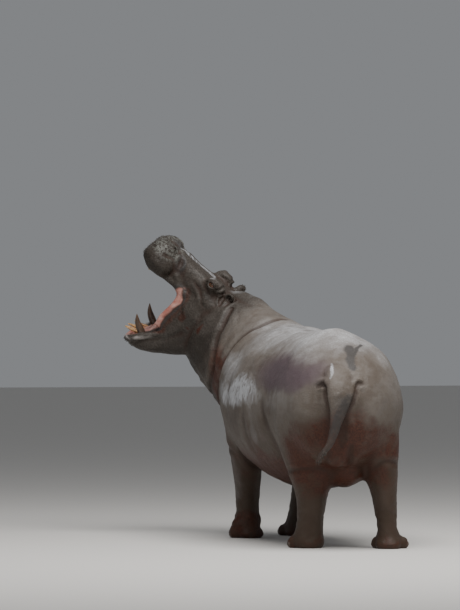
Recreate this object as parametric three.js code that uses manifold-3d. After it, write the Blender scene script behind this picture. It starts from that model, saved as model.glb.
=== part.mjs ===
// A life-size hippopotamus that stands on four feet and gapes, its head turned to its left.
// Millimetres, +Z up. The body faces -Y, so its left side is towards +X.
import * as THREE from "three";
import { mergeVertices } from "three/addons/utils/BufferGeometryUtils.js";
import Module from "manifold-3d";

const wasm = await Module();
wasm.setup();

// ---- Driving dimensions -------------------------------------------------------------------

const GAP = 0.5; // the thin cut between two named parts
const HEAD = { at: [385, -2037, 1791], turn: 72, lift: 41.5, roll: 19 }; // midway between the eyes
const HINGE = [0, 110, -150]; // the jaw hinge, in the head's own frame
const GAPE = 60; // how far the lower jaw hangs open, degrees
const SIDES = { left: 1, right: -1 };

// Where the neck leaves the trunk and the head, and where the jaw leaves the head. Each is the
// XZ plane of its own frame: the trunk's neck cut stands in the world, the others in the head.
const NECK_CUT = { at: [110, -1600, 1150], turn: 26, lift: 20 };
const HEAD_CUT = { at: [0, 205, -100], lift: -18.7 };
const JAW_CUT = { at: HINGE, lift: 62 };

// ---- Small tools --------------------------------------------------------------------------

const radians = THREE.MathUtils.degToRad;
const UP = new THREE.Vector3(0, 0, 1);
const FORWARD = new THREE.Vector3(0, -1, 0);

// A frame that looks along -Y, then turns to its left, lifts its nose and rolls its right side up.
function frame({ at, turn = 0, lift = 0, roll = 0 }) {
  const group = new THREE.Group();
  group.position.set(...at);
  group.rotation.set(radians(-lift), radians(roll), radians(turn), "ZXY");
  group.updateMatrix();
  return group.matrix;
}

const WORLD = new THREE.Matrix4();
const head = frame(HEAD);
const jaw = head.clone().multiply(frame({ at: HINGE, lift: -GAPE }));

// A superellipse's coordinate: power 2 is round, and more is boxier.
const bent = (wave, power) => Math.sign(wave) * Math.abs(wave) ** (2 / power);

// A closed body through stations of { at, side, up, down, power }. Each ring lies across the path
// with its own half-widths, and each end is a dome of the given length. grow makes it all fatter.
function loft(stations, { rings, around, upward = UP, domes = [0, 0], domeRings = 3, grow = 0 }) {
  const path = new THREE.CatmullRomCurve3(stations.map((s) => new THREE.Vector3(...s.at)));
  const sizes = new THREE.CatmullRomCurve3(
    stations.map((s) => new THREE.Vector3(s.side, s.up, s.down ?? s.up).addScalar(grow)),
  );
  const powers = new THREE.CatmullRomCurve3(
    stations.map((s) => new THREE.Vector3(s.power ?? 2, 0, 0)),
  );
  const lengths = domes.map((length) => length + grow);
  const positions = [];
  const addRing = (t, push, scale) => {
    const along = path.getTangent(t);
    const left = upward.clone().cross(along).normalize();
    const top = along.clone().cross(left);
    const centre = path.getPoint(t).addScaledVector(along, push);
    const size = sizes.getPoint(t).multiplyScalar(scale);
    const power = powers.getPoint(t).x;
    for (let k = 0; k < around; k++) {
      const angle = (2 * Math.PI * k) / around;
      const wide = bent(Math.cos(angle), power) * size.x;
      const tall = bent(Math.sin(angle), power) * (Math.sin(angle) > 0 ? size.y : size.z);
      const point = centre.clone().addScaledVector(left, wide).addScaledVector(top, tall);
      positions.push(...point.toArray());
    }
  };
  const dome = Array.from({ length: domeRings - 1 }, (_, k) => {
    const angle = (Math.PI / 2) * ((k + 1) / domeRings);
    return [Math.cos(angle), Math.sin(angle)];
  });
  const startDome = lengths[0] > grow ? dome : [];
  const endDome = lengths[1] > grow ? dome.toReversed() : [];
  startDome.forEach(([push, scale]) => addRing(0, -lengths[0] * push, scale));
  for (let k = 0; k < rings; k++) addRing(k / (rings - 1), 0, 1);
  endDome.forEach(([push, scale]) => addRing(1, lengths[1] * push, scale));
  const count = startDome.length + rings + endDome.length;
  [-lengths[0], lengths[1]].forEach((push, t) => {
    const pole = path.getPoint(t).addScaledVector(path.getTangent(t), push);
    positions.push(...pole.toArray());
  });
  const faces = [];
  const startPole = count * around;
  const lastRing = startPole - around;
  for (let k = 0; k < around; k++) {
    const next = (k + 1) % around;
    faces.push(startPole, next, k, startPole + 1, lastRing + k, lastRing + next);
    for (let ring = 0; ring < lastRing; ring += around) {
      faces.push(ring + k, ring + next, ring + around + next);
      faces.push(ring + k, ring + around + next, ring + around + k);
    }
  }
  const geometry = new THREE.BufferGeometry();
  geometry.setAttribute("position", new THREE.Float32BufferAttribute(positions, 3));
  geometry.setIndex(faces);
  return geometry;
}

const RINGS_PER_SEGMENT = 0.7;

// An ellipsoid with half-widths along X, Y and Z, turned by degrees about each axis in turn.
function ellipsoid({ at, radii, turned = [0, 0, 0], segments = 16, grow = 0 }) {
  const geometry = new THREE.SphereGeometry(1, segments, Math.round(segments * RINGS_PER_SEGMENT));
  geometry.scale(...radii.map((radius) => radius + grow));
  geometry.rotateX(radians(turned[0])).rotateY(radians(turned[1])).rotateZ(radians(turned[2]));
  return geometry.translate(...at);
}

// A plate with the given outline in the YZ plane, as [forward, up] points and curves, that
// spans from -half to +half along X and has rounded edges.
function plate(outline, half, bevel) {
  const geometry = new THREE.ExtrudeGeometry(outline, {
    depth: 2 * (half - bevel),
    bevelSize: bevel,
    bevelThickness: bevel,
    bevelSegments: 1,
    curveSegments: 5,
  });
  geometry.translate(0, 0, -(half - bevel));
  return geometry.rotateX(Math.PI / 2).rotateZ(-Math.PI / 2);
}

// A three.js geometry, moved by a matrix, as a solid for joining and cutting.
function solid(geometry, matrix = WORLD) {
  const bare = new THREE.BufferGeometry();
  bare.setAttribute("position", geometry.getAttribute("position").clone());
  if (geometry.index) bare.setIndex(geometry.index.clone());
  const merged = mergeVertices(bare.applyMatrix4(matrix), 1e-3);
  const made = new wasm.Manifold(
    new wasm.Mesh({
      numProp: 3,
      vertProperties: merged.getAttribute("position").array,
      triVerts: new Uint32Array(merged.index.array),
    }),
  );
  if (made.volume() < 0) throw new Error("inside out");
  return made;
}

const union = (solids) => solids.reduce((joined, next) => joined.add(next));

// Both sides of a pair: make(side) gets +1 for the left and -1 for the right.
const pair = (make) => Object.values(SIDES).map(make);

// A part's measures, moved to its side.
const mirrored = (part, side) => ({ ...part, at: [part.at[0] * side, part.at[1], part.at[2]] });

// The main body of a solid, without the crumbs that a cut can leave.
const whole = (body) => body.decompose().reduce((a, b) => (a.volume() > b.volume() ? a : b));

// Cuts a solid by the XZ plane of a frame: [the part in front of it, the rest], a gap apart.
function cut(body, matrix) {
  const ahead = FORWARD.clone().transformDirection(matrix);
  const offset = ahead.dot(new THREE.Vector3().setFromMatrixPosition(matrix));
  const behind = ahead.clone().negate();
  return [
    body.trimByPlane(ahead.toArray(), offset + GAP / 2),
    body.trimByPlane(behind.toArray(), -offset + GAP / 2),
  ];
}

// ---- Trunk and neck -----------------------------------------------------------------------

const SPINE = {
  buttocks: { at: [148, 290, 905], side: 300, up: 330, down: 350, power: 2.1 },
  hips: { at: [85, 120, 930], side: 404, up: 440, down: 420, power: 2 },
  croup: { at: [25, -150, 945], side: 450, up: 508, down: 480, power: 1.9 },
  loin: { at: [0, -480, 930], side: 500, up: 530, down: 540, power: 2 },
  belly: { at: [5, -820, 910], side: 540, up: 540, down: 550, power: 2 },
  ribs: { at: [20, -1150, 930], side: 525, up: 550, down: 520, power: 2 },
  shoulder: { at: [50, -1440, 1000], side: 470, up: 500, down: 450, power: 2.1 },
  neckBase: { at: [115, -1700, 1130], side: 365, up: 440, down: 400, power: 2.1 },
  neck: { at: [240, -1930, 1280], side: 300, up: 390, down: 370, power: 2.1 },
  throat: { at: [370, -2080, 1420], side: 225, up: 305, down: 305, power: 2.1 },
};
const GROIN = { at: [0, -60, 520], radii: [130, 240, 125] };
const NAPE = { at: [158, -1873, 1550], radii: [112, 290, 130], turned: [-26, 0, 40] };

function trunkAndNeck() {
  const stations = Object.values(SPINE);
  const bulk = solid(loft(stations, { rings: 15, around: 18, domes: [125, 130] }));
  return union([bulk, ...[GROIN, NAPE].map((part) => solid(ellipsoid({ ...part, segments: 8 })))]);
}

// ---- Tail ---------------------------------------------------------------------------------

const TAIL = [
  { at: [128, 300, 1130], side: 96, up: 40 },
  { at: [150, 408, 1090], side: 94, up: 36 },
  { at: [158, 440, 1010], side: 88, up: 32 },
  { at: [172, 450, 920], side: 66, up: 27 },
  { at: [190, 452, 840], side: 38, up: 22 },
  { at: [212, 450, 770], side: 26, up: 16 },
  { at: [256, 446, 680], side: 20, up: 11 },
  { at: [305, 440, 595], side: 12, up: 8 },
];

const tail = (grow) =>
  solid(loft(TAIL, { rings: 9, around: 8, upward: FORWARD, domes: [20, 20], domeRings: 2, grow }));

// ---- Legs ---------------------------------------------------------------------------------

const FRONT_LEG = [
  { drop: 980, side: 130, up: 170, down: 190 },
  { drop: 780, side: 142, up: 170, down: 190 },
  { drop: 600, side: 122, up: 136, down: 146 },
  { drop: 420, side: 98, up: 106, down: 114 },
  { drop: 260, side: 88, up: 94, down: 96 },
  { drop: 150, side: 86, up: 94, down: 92 },
  { drop: 60, side: 104, up: 112, down: 100 },
  { drop: -40, side: 112, up: 120, down: 104 },
];

const HIND_LEG = [
  { drop: 960, side: 150, up: 230, down: 220 },
  { drop: 800, side: 170, up: 260, down: 260 },
  { drop: 600, side: 150, up: 210, down: 220 },
  { drop: 450, side: 116, up: 134, down: 144 },
  { drop: 320, side: 100, up: 106, down: 112 },
  { drop: 170, side: 80, up: 90, down: 90 },
  { drop: 60, side: 100, up: 106, down: 98 },
  { drop: -40, side: 110, up: 116, down: 104 },
];

// Where a leg leaves the trunk: a ball round its upper part, and a box round all below that.
const LEG_CUTS = {
  front: { ball: [210, 255, 360], height: 770, box: [190, 250, 545] },
  hind: { ball: [235, 320, 390], height: 745, box: [165, 260, 450] },
};

// Each leg's axis from the hip or shoulder down to the foot, as [x, y], the centre of the ball
// that frees it from the trunk, how wide it is for its sizes and where its toes point.
const LEGS = {
  front_left: {
    sizes: FRONT_LEG,
    top: [350, -1400],
    joint: [295, -1470],
    foot: [292, -1520],
    centre: [330, -1470],
    cut: LEG_CUTS.front,
    wide: 1,
    turn: 30,
  },
  front_right: {
    sizes: FRONT_LEG,
    top: [-280, -1440],
    joint: [-150, -1600],
    foot: [-122, -1750],
    centre: [-200, -1565],
    cut: LEG_CUTS.front,
    wide: 1,
    turn: 5,
  },
  hind_left: {
    sizes: HIND_LEG,
    top: [285, -80],
    joint: [207, -20],
    foot: [240, -110],
    centre: [262, -60],
    cut: LEG_CUTS.hind,
    wide: 1.2,
    turn: 15,
  },
  hind_right: {
    sizes: HIND_LEG,
    top: [-150, 40],
    joint: [-230, 90],
    foot: [-262, 112],
    centre: [-212, 70],
    cut: LEG_CUTS.hind,
    wide: 0.86,
    turn: -25,
  },
};
const TOE_ANGLES = [-66, -23, 23, 66];
const TOE = { reach: 80, radii: [42, 54, 56], height: 30, segments: 6 };
const NAIL = { reach: 120, radii: [24, 17, 27], height: 26, segments: 6 };

// A toe or a nail, set round the front of a foot.
function digit({ foot, turn }, angle, { reach, radii, height, segments }, grow = 0) {
  const heading = radians(turn + angle);
  const at = [foot[0] + reach * Math.sin(heading), foot[1] - reach * Math.cos(heading), height];
  return solid(ellipsoid({ at, radii, turned: [0, 0, turn + angle], segments, grow }));
}

function leg(plan) {
  const bend = new THREE.QuadraticBezierCurve(
    new THREE.Vector2(...plan.top),
    new THREE.Vector2(...plan.joint),
    new THREE.Vector2(...plan.foot),
  );
  const stations = plan.sizes.map((size) => {
    const at = bend.getPoint(1 - Math.max(size.drop, 0) / 1000);
    return { ...size, side: size.side * plan.wide, at: [at.x, at.y, size.drop] };
  });
  const options = { rings: 9, around: 10, upward: FORWARD, domes: [60, 0], domeRings: 2 };
  const toes = TOE_ANGLES.map((angle) => digit(plan, angle, TOE));
  return union([solid(loft(stations, options)), ...toes]);
}

// All the space that belongs to a leg, with a margin.
function legRoom({ centre, foot, cut: { ball, height, box } }, grow) {
  const upper = ellipsoid({ at: [...centre, height], radii: ball, segments: 8, grow });
  const [wide, long, tall] = box.map((size) => size + grow);
  const lower = new THREE.BoxGeometry(2 * wide, 2 * long, 2 * tall).translate(...foot, 0);
  return solid(upper).add(solid(lower));
}

// ---- Head, in its own frame: origin midway between the eyes, muzzle towards -Y --------------

const SKULL = {
  occiput: { at: [0, 230, -170], side: 165, up: 135, down: 190, power: 2.2 },
  crown: { at: [0, 120, -140], side: 182, up: 148, down: 180, power: 2.6 },
  brow: { at: [0, 10, -110], side: 150, up: 116, down: 120, power: 2.8 },
  bridge: { at: [0, -130, -122], side: 130, up: 118, down: 84, power: 2.6 },
  rostrum: { at: [0, -250, -122], side: 132, up: 118, down: 84, power: 2.6 },
  muzzleRoot: { at: [0, -350, -112], side: 160, up: 116, down: 96, power: 2.4 },
  muzzle: { at: [0, -430, -104], side: 188, up: 108, down: 100, power: 2.5 },
};
const CHEEK = { at: [96, 90, -260], radii: [104, 190, 200] };
const LIP_PAD = { at: [116, -385, -132], radii: [104, 126, 96] };
const NOSTRIL_RIDGE = { at: [88, -392, -22], radii: [44, 70, 34] };
const BROW = { at: [110, 34, -4], radii: [52, 84, 62] };
const EYE = { at: [142, 12, 4], radius: 27 };
const EAR = { at: [128, 163, 16], radii: [21, 33, 42], pitch: -24, lean: 34 };
const EAR_HOLLOW = { shift: [17, -3, 8], radii: [17, 22, 31] };

const JAW = {
  root: { at: [0, 20, -120], side: 190, up: 90, down: 180, power: 2.4 },
  angle: { at: [0, -120, -140], side: 186, up: 105, down: 180, power: 2.5 },
  middle: { at: [0, -280, -125], side: 164, up: 110, down: 130, power: 2.8 },
  fore: { at: [0, -430, -100], side: 162, up: 95, down: 112, power: 2.8 },
  chin: { at: [0, -548, -80], side: 178, up: 80, down: 92, power: 2.6 },
  lip: { at: [0, -652, -38], side: 148, up: 40, down: 50, power: 2.4 },
};
const JOWL = { at: [0, 40, -190], radii: [165, 190, 155] };

function skull() {
  const masses = [CHEEK, LIP_PAD, NOSTRIL_RIDGE, BROW].flatMap((part) =>
    pair((side) => solid(ellipsoid({ ...mirrored(part, side), segments: 8 }), head)),
  );
  const bone = solid(loft(Object.values(SKULL), { rings: 11, around: 14, domes: [60, 86] }), head);
  return union([bone, ...masses]);
}

function eye(side, grow) {
  const radii = [EYE.radius, EYE.radius, EYE.radius];
  return solid(ellipsoid({ ...mirrored(EYE, side), radii, segments: 8, grow }), head);
}

// A rounded ear, hollow on the side that faces outwards.
function ear(side, grow) {
  const matrix = head
    .clone()
    .multiply(frame({ at: mirrored(EAR, side).at, lift: -EAR.pitch, roll: EAR.lean * side }));
  const [x, y, z] = EAR_HOLLOW.shift;
  const hollow = ellipsoid({ at: [x * side, y, z], radii: EAR_HOLLOW.radii, segments: 6 });
  const blade = ellipsoid({ at: [0, 0, 0], radii: EAR.radii, segments: 8, grow });
  return solid(blade, matrix).subtract(solid(hollow, matrix));
}

function lowerJaw() {
  const options = { rings: 9, around: 14, domes: [60, 34], domeRings: 2 };
  const bone = solid(loft(Object.values(JAW), options), jaw);
  return bone.add(solid(ellipsoid({ ...JOWL, segments: 9 }), jaw));
}

// The two cheeks stretch between the jaws like fans about the hinge, in the jaw's frame, each
// from the lower jaw's angle to the upper one's. spine and inner are distances from the hinge.
const FAN = {
  angles: [-18, 66],
  lateral: [142, 114],
  thin: [38, 26],
  spine: 120,
  inner: -30,
  rings: 7,
  power: 2.6,
};

// A fan's front edge is a hollow curve: this far from the hinge, and nearest at middle degrees.
const FAN_EDGE = { nearest: 268, furthest: 420, middle: 42, rise: 86, spread: 27 };

function fanReach(angle) {
  const { nearest, furthest, middle, rise, spread } = FAN_EDGE;
  return Math.min(nearest + rise * ((angle - middle) / spread) ** 2, furthest);
}

function cheekFan(side) {
  const stations = Array.from({ length: FAN.rings }, (_, k) => {
    const t = k / (FAN.rings - 1);
    const angle = THREE.MathUtils.lerp(...FAN.angles, t);
    const y = -FAN.spine * Math.cos(radians(angle));
    const z = FAN.spine * Math.sin(radians(angle));
    return {
      at: [THREE.MathUtils.lerp(...FAN.lateral, t) * side, y, z],
      side: THREE.MathUtils.lerp(...FAN.thin, t),
      up: fanReach(angle) - FAN.spine,
      down: FAN.spine - FAN.inner,
      power: FAN.power,
    };
  });
  const options = { rings: FAN.rings, around: 10, upward: FORWARD, domes: [20, 8], domeRings: 2 };
  return solid(loft(stations, options), jaw);
}

// The hollow of the mouth, inside the cheeks and between the lips, as an outline of
// [forward, up] points in the jaw's frame: along its floor, back by the palate, round the throat.
const MOUTH = {
  half: 104,
  bevel: 24,
  floor: [
    [110, 12],
    [760, 12],
  ],
  palate: [
    [389, 514],
    [335, 500],
    [104, 124],
  ],
  throat: [72, 60],
};
const JAW_TRAY = { at: [0, -520, 70], radii: [142, 190, 88] };
const PALATE_TRAY = { at: [0, -400, -250], radii: [126, 120, 70] };

function mouth() {
  const outline = new THREE.Shape();
  outline.moveTo(...MOUTH.floor[0]);
  [MOUTH.floor[1], ...MOUTH.palate].forEach((corner) => outline.lineTo(...corner));
  outline.quadraticCurveTo(...MOUTH.throat, ...MOUTH.floor[0]);
  return union([
    solid(plate(outline, MOUTH.half, MOUTH.bevel), jaw),
    solid(ellipsoid({ ...JAW_TRAY, segments: 8 }), jaw),
    solid(ellipsoid({ ...PALATE_TRAY, segments: 8 }), head),
  ]);
}

// ---- Tongue and teeth ---------------------------------------------------------------------

const TONGUE = [
  { at: [0, -70, -12], side: 62, up: 34 },
  { at: [0, -220, 0], side: 58, up: 36 },
  { at: [0, -360, 4], side: 60, up: 30 },
  { at: [0, -460, 0], side: 52, up: 22 },
];
const LOWER_CANINE = [
  { at: [138, -535, -50], side: 26, up: 26 },
  { at: [144, -541, 35], side: 24, up: 24 },
  { at: [152, -520, 98], side: 15, up: 16 },
];
const UPPER_CANINE = [
  { at: [136, -400, -150], side: 22, up: 24 },
  { at: [142, -406, -190], side: 20, up: 22 },
  { at: [145, -404, -214], side: 15, up: 16 },
];
const LOWER_INCISORS = {
  inner: { lateral: 34, radius: 19, from: [-545, -40], to: [-680, 34] },
  outer: { lateral: 92, radius: 14, from: [-560, -30], to: [-650, 30] },
};
const UPPER_INCISORS = {
  inner: { lateral: 30, radius: 15, from: [-448, -140], to: [-456, -212] },
  outer: { lateral: 82, radius: 13, from: [-440, -140], to: [-446, -208] },
};
const INCISOR = { splay: 0.92, taper: 0.75 }; // the root's place and the tip's radius, as shares
const CHEEK_TEETH = { count: 3, lateral: 80, radii: [18, 34, 20] };

// The first and last molar of each row, as [y, z] in the jaw's frame and in the head's.
const LOWER_ROW = { first: [-130, 10], last: [-370, 10] };
const UPPER_ROW = { first: [-20, -196], last: [-255, -196] };

function tongue(grow) {
  const options = { rings: 5, around: 8, domes: [30, 34], domeRings: 2, grow };
  return solid(loft(TONGUE, options), jaw);
}

const canine = (stations, side, matrix) => (grow) => {
  const path = stations.map((station) => mirrored(station, side));
  const options = { rings: 4, around: 6, upward: FORWARD, domes: [8, 22], domeRings: 2, grow };
  return solid(loft(path, options), matrix);
};

const incisor = ({ lateral, radius, from, to }, side, matrix, upward) => (grow) => {
  const stations = [
    { at: [lateral * side * INCISOR.splay, ...from], side: radius, up: radius },
    { at: [lateral * side, ...to], side: radius * INCISOR.taper, up: radius * INCISOR.taper },
  ];
  const options = { rings: 2, around: 6, upward, domes: [6, radius], domeRings: 2, grow };
  return solid(loft(stations, options), matrix);
};

// A row of molars on each side.
function cheekTeeth({ first, last }, matrix) {
  const { count, lateral, radii } = CHEEK_TEETH;
  const places = Array.from({ length: count }, (_, k) => k / (count - 1));
  const row = (side) =>
    places.map((t) => {
      const [y, z] = first.map((start, k) => THREE.MathUtils.lerp(start, last[k], t));
      return solid(ellipsoid({ at: [lateral * side, y, z], radii, segments: 5 }), matrix);
    });
  return union(pair(row).flat());
}

// ---- Assembly -----------------------------------------------------------------------------

const UNDERGROUND = { size: [6000, 8000, 1000], middle: [0, -1000, -500] }; // its top is the floor

const MATERIALS = {
  hide: { color: "#6f6560", roughness: 0.6, metalness: 0 },
  ivory: { color: "#c9a878", roughness: 0.35, metalness: 0 },
  flesh: { color: "#b9716a", roughness: 0.4, metalness: 0 },
  nail: { color: "#3b322c", roughness: 0.5, metalness: 0 },
  eye: { color: "#1c1310", roughness: 0.1, metalness: 0 },
};

// Everything that sits in the flesh: its name, its material and make(grow), which gives its
// solid, or the slightly larger pocket that it sits in.
const insets = {
  tail: { material: "hide", make: tail },
  tongue: { material: "flesh", make: tongue },
};
for (const [name, side] of Object.entries(SIDES)) {
  insets[`eye_${name}`] = { material: "eye", make: (grow) => eye(side, grow) };
  insets[`ear_${name}`] = { material: "hide", make: (grow) => ear(side, grow) };
  insets[`canine_lower_${name}`] = { material: "ivory", make: canine(LOWER_CANINE, side, jaw) };
  insets[`canine_upper_${name}`] = { material: "ivory", make: canine(UPPER_CANINE, side, head) };
  for (const place of ["inner", "outer"]) {
    insets[`incisor_lower_${place}_${name}`] = {
      material: "ivory",
      make: incisor(LOWER_INCISORS[place], side, jaw, UP),
    };
    insets[`incisor_upper_${place}_${name}`] = {
      material: "ivory",
      make: incisor(UPPER_INCISORS[place], side, head, FORWARD),
    };
  }
}
for (const [name, plan] of Object.entries(LEGS))
  TOE_ANGLES.forEach((angle, k) => {
    insets[`nail_${name}_${k + 1}`] = {
      material: "nail",
      make: (grow) => digit(plan, angle, NAIL, grow),
    };
  });

const body = new THREE.Group();

function addNode(name, part, material) {
  const { numProp, vertProperties, triVerts } = whole(part).getMesh();
  const positions = new Float32Array((vertProperties.length / numProp) * 3);
  for (let k = 0; k < positions.length / 3; k++)
    positions.set(vertProperties.subarray(k * numProp, k * numProp + 3), k * 3);
  const geometry = new THREE.BufferGeometry();
  geometry.setAttribute("position", new THREE.BufferAttribute(positions, 3));
  geometry.setIndex(new THREE.BufferAttribute(triVerts, 1));
  const mesh = new THREE.Mesh(geometry, new THREE.MeshStandardMaterial(MATERIALS[material]));
  mesh.name = name;
  body.add(mesh);
}

const { size, middle: centre } = UNDERGROUND;
const underground = solid(new THREE.BoxGeometry(...size).translate(...centre));

const legs = Object.values(LEGS).map((plan) => leg(plan));
const cheeks = pair(cheekFan);
let flesh = union([trunkAndNeck(), skull(), lowerJaw(), ...cheeks, ...legs]).subtract(mouth());
flesh = flesh.add(cheekTeeth(LOWER_ROW, jaw)).add(cheekTeeth(UPPER_ROW, head));
for (const [name, { material, make }] of Object.entries(insets)) {
  flesh = flesh.subtract(make(GAP));
  addNode(name, make(0).subtract(underground), material);
}
flesh = flesh.subtract(underground);
for (const [name, plan] of Object.entries(LEGS)) {
  addNode(`leg_${name}`, flesh.intersect(legRoom(plan, 0)), "hide");
  flesh = flesh.subtract(legRoom(plan, GAP));
}
const [front, trunk] = cut(flesh, frame(NECK_CUT));
const [face, neck] = cut(front, head.clone().multiply(frame(HEAD_CUT)));
const [upper, lower] = cut(face, head.clone().multiply(frame(JAW_CUT)));
addNode("trunk", trunk, "hide");
addNode("neck", neck, "hide");
addNode("head", upper, "hide");
addNode("jaw", lower, "hide");

// The origin is the middle of the footprint, on the ground.
const bounds = new THREE.Box3().setFromObject(body);
const middle = bounds.getCenter(new THREE.Vector3());
body.position.set(-middle.x, -middle.y, 0);

const hippopotamus = new THREE.Group();
hippopotamus.name = "hippopotamus";
hippopotamus.add(body);

export default hippopotamus;
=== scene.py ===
"""A still, life-size hippopotamus with its head turned and its mouth wide open.

One skin is sculpted as signed distances round the CAD solids and then meshed. Teeth, tongue,
eyes and nails stay separate. Metres, +Z up; the trunk faces -Y and the animal's left is +X.
"""

import functools
import math

import bmesh
import bpy
import numpy as np
import openvdb
from mathutils import Matrix, Vector

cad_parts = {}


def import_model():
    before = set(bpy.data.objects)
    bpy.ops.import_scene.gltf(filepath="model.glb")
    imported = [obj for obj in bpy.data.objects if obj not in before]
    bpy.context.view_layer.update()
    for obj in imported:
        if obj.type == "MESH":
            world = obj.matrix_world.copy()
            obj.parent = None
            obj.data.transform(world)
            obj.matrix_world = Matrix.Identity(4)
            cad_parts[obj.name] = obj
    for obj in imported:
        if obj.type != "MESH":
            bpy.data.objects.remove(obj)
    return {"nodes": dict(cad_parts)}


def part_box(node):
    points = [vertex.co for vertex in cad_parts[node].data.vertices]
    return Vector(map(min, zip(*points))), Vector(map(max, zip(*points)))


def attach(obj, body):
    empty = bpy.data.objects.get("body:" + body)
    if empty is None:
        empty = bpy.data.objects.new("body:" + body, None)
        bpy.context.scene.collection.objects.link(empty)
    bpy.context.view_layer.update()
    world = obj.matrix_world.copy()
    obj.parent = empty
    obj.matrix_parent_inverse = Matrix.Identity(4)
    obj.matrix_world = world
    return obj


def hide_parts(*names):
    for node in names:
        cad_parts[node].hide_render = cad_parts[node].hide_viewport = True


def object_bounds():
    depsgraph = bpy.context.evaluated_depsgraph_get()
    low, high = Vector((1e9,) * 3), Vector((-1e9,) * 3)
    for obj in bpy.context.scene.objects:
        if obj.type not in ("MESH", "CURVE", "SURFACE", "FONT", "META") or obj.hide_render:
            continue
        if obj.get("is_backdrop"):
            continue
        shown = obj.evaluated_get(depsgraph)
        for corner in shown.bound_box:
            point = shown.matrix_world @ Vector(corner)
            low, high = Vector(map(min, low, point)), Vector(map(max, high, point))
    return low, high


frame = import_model()
cad_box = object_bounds()
nodes = frame["nodes"]

# ---- Frames ---------------------------------------------------------------------------------

LEFT, RIGHT = 1, -1
SIDES = {"left": LEFT, "right": RIGHT}
HEAD_TURN, HEAD_LIFT, HEAD_ROLL = 72, 41.5, 19  # as in the CAD model
EYE = Vector((0.142, 0.012, 0.004))  # the left eye, in the head's frame
HINGE = Vector((0, 0.11, -0.15))
GAPE = 60


def placed(at=(0, 0, 0), turn=0, lift=0, roll=0):
    """A frame that looks along -Y, then turns left, lifts its nose and rolls its right side up."""
    made = (
        Matrix.Rotation(math.radians(turn), 4, "Z")
        @ Matrix.Rotation(math.radians(-lift), 4, "X")
        @ Matrix.Rotation(math.radians(roll), 4, "Y")
    )
    made.translation = Vector(at)
    return made


def middle(node):
    low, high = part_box(node)
    return (low + high) / 2


def head_frame():
    made = placed(turn=HEAD_TURN, lift=HEAD_LIFT, roll=HEAD_ROLL)
    between = (middle("eye_left") + middle("eye_right")) / 2
    made.translation = between - made.to_3x3() @ Vector((0, EYE.y, EYE.z))
    return made


WORLD = Matrix.Identity(4)
HEAD = head_frame()
JAW = HEAD @ placed(HINGE, lift=-GAPE)


def local(points, place):
    """World points in a frame."""
    if place is WORLD:
        return points
    turn = np.array(place.to_3x3(), np.float32)
    return (points - np.array(place.translation, np.float32)) @ turn


def world(points, place):
    """A frame's points in the world."""
    if place is WORLD:
        return np.asarray(points, float)
    turn = np.array(place.to_3x3())
    return np.asarray(points, float) @ turn.T + np.array(place.translation)


def mirrored(at, side):
    return (at[0] * side, at[1], at[2])


def mirrored_all(stops, side):
    return [mirrored(stop, side) for stop in stops]


# ---- Volumes --------------------------------------------------------------------------------

CUT_CLOSER = 0.0015  # a surface this far out bridges the thin cuts between the CAD's parts
EDGE_STEPS = 3  # the distances kept on each side of a surface that is being meshed
SETTLING_ROUNDS = 4
FAR = 9  # farther than any two points of the model


def corners(names):
    """The points and triangles of CAD nodes, joined."""
    points, triangles, count = [], [], 0
    for name in names:
        mesh = nodes[name].data
        mesh.calc_loop_triangles()
        found = np.empty(len(mesh.vertices) * 3, np.float32)
        mesh.vertices.foreach_get("co", found)
        faces = np.empty(len(mesh.loop_triangles) * 3, np.int32)
        mesh.loop_triangles.foreach_get("vertices", faces)
        points.append(found.reshape(-1, 3))
        triangles.append(faces.reshape(-1, 3) + count)
        count += len(mesh.vertices)
    return np.concatenate(points), np.concatenate(triangles).astype(np.uint32)


def cell_weights(part):
    """A cell's eight corners, and how much each counts at places inside the cell."""
    for i, j, k in np.ndindex(2, 2, 2):
        near = np.abs(1 - i - part[:, 0]) * np.abs(1 - j - part[:, 1])
        yield (i, j, k), near * np.abs(1 - k - part[:, 2])


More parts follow.
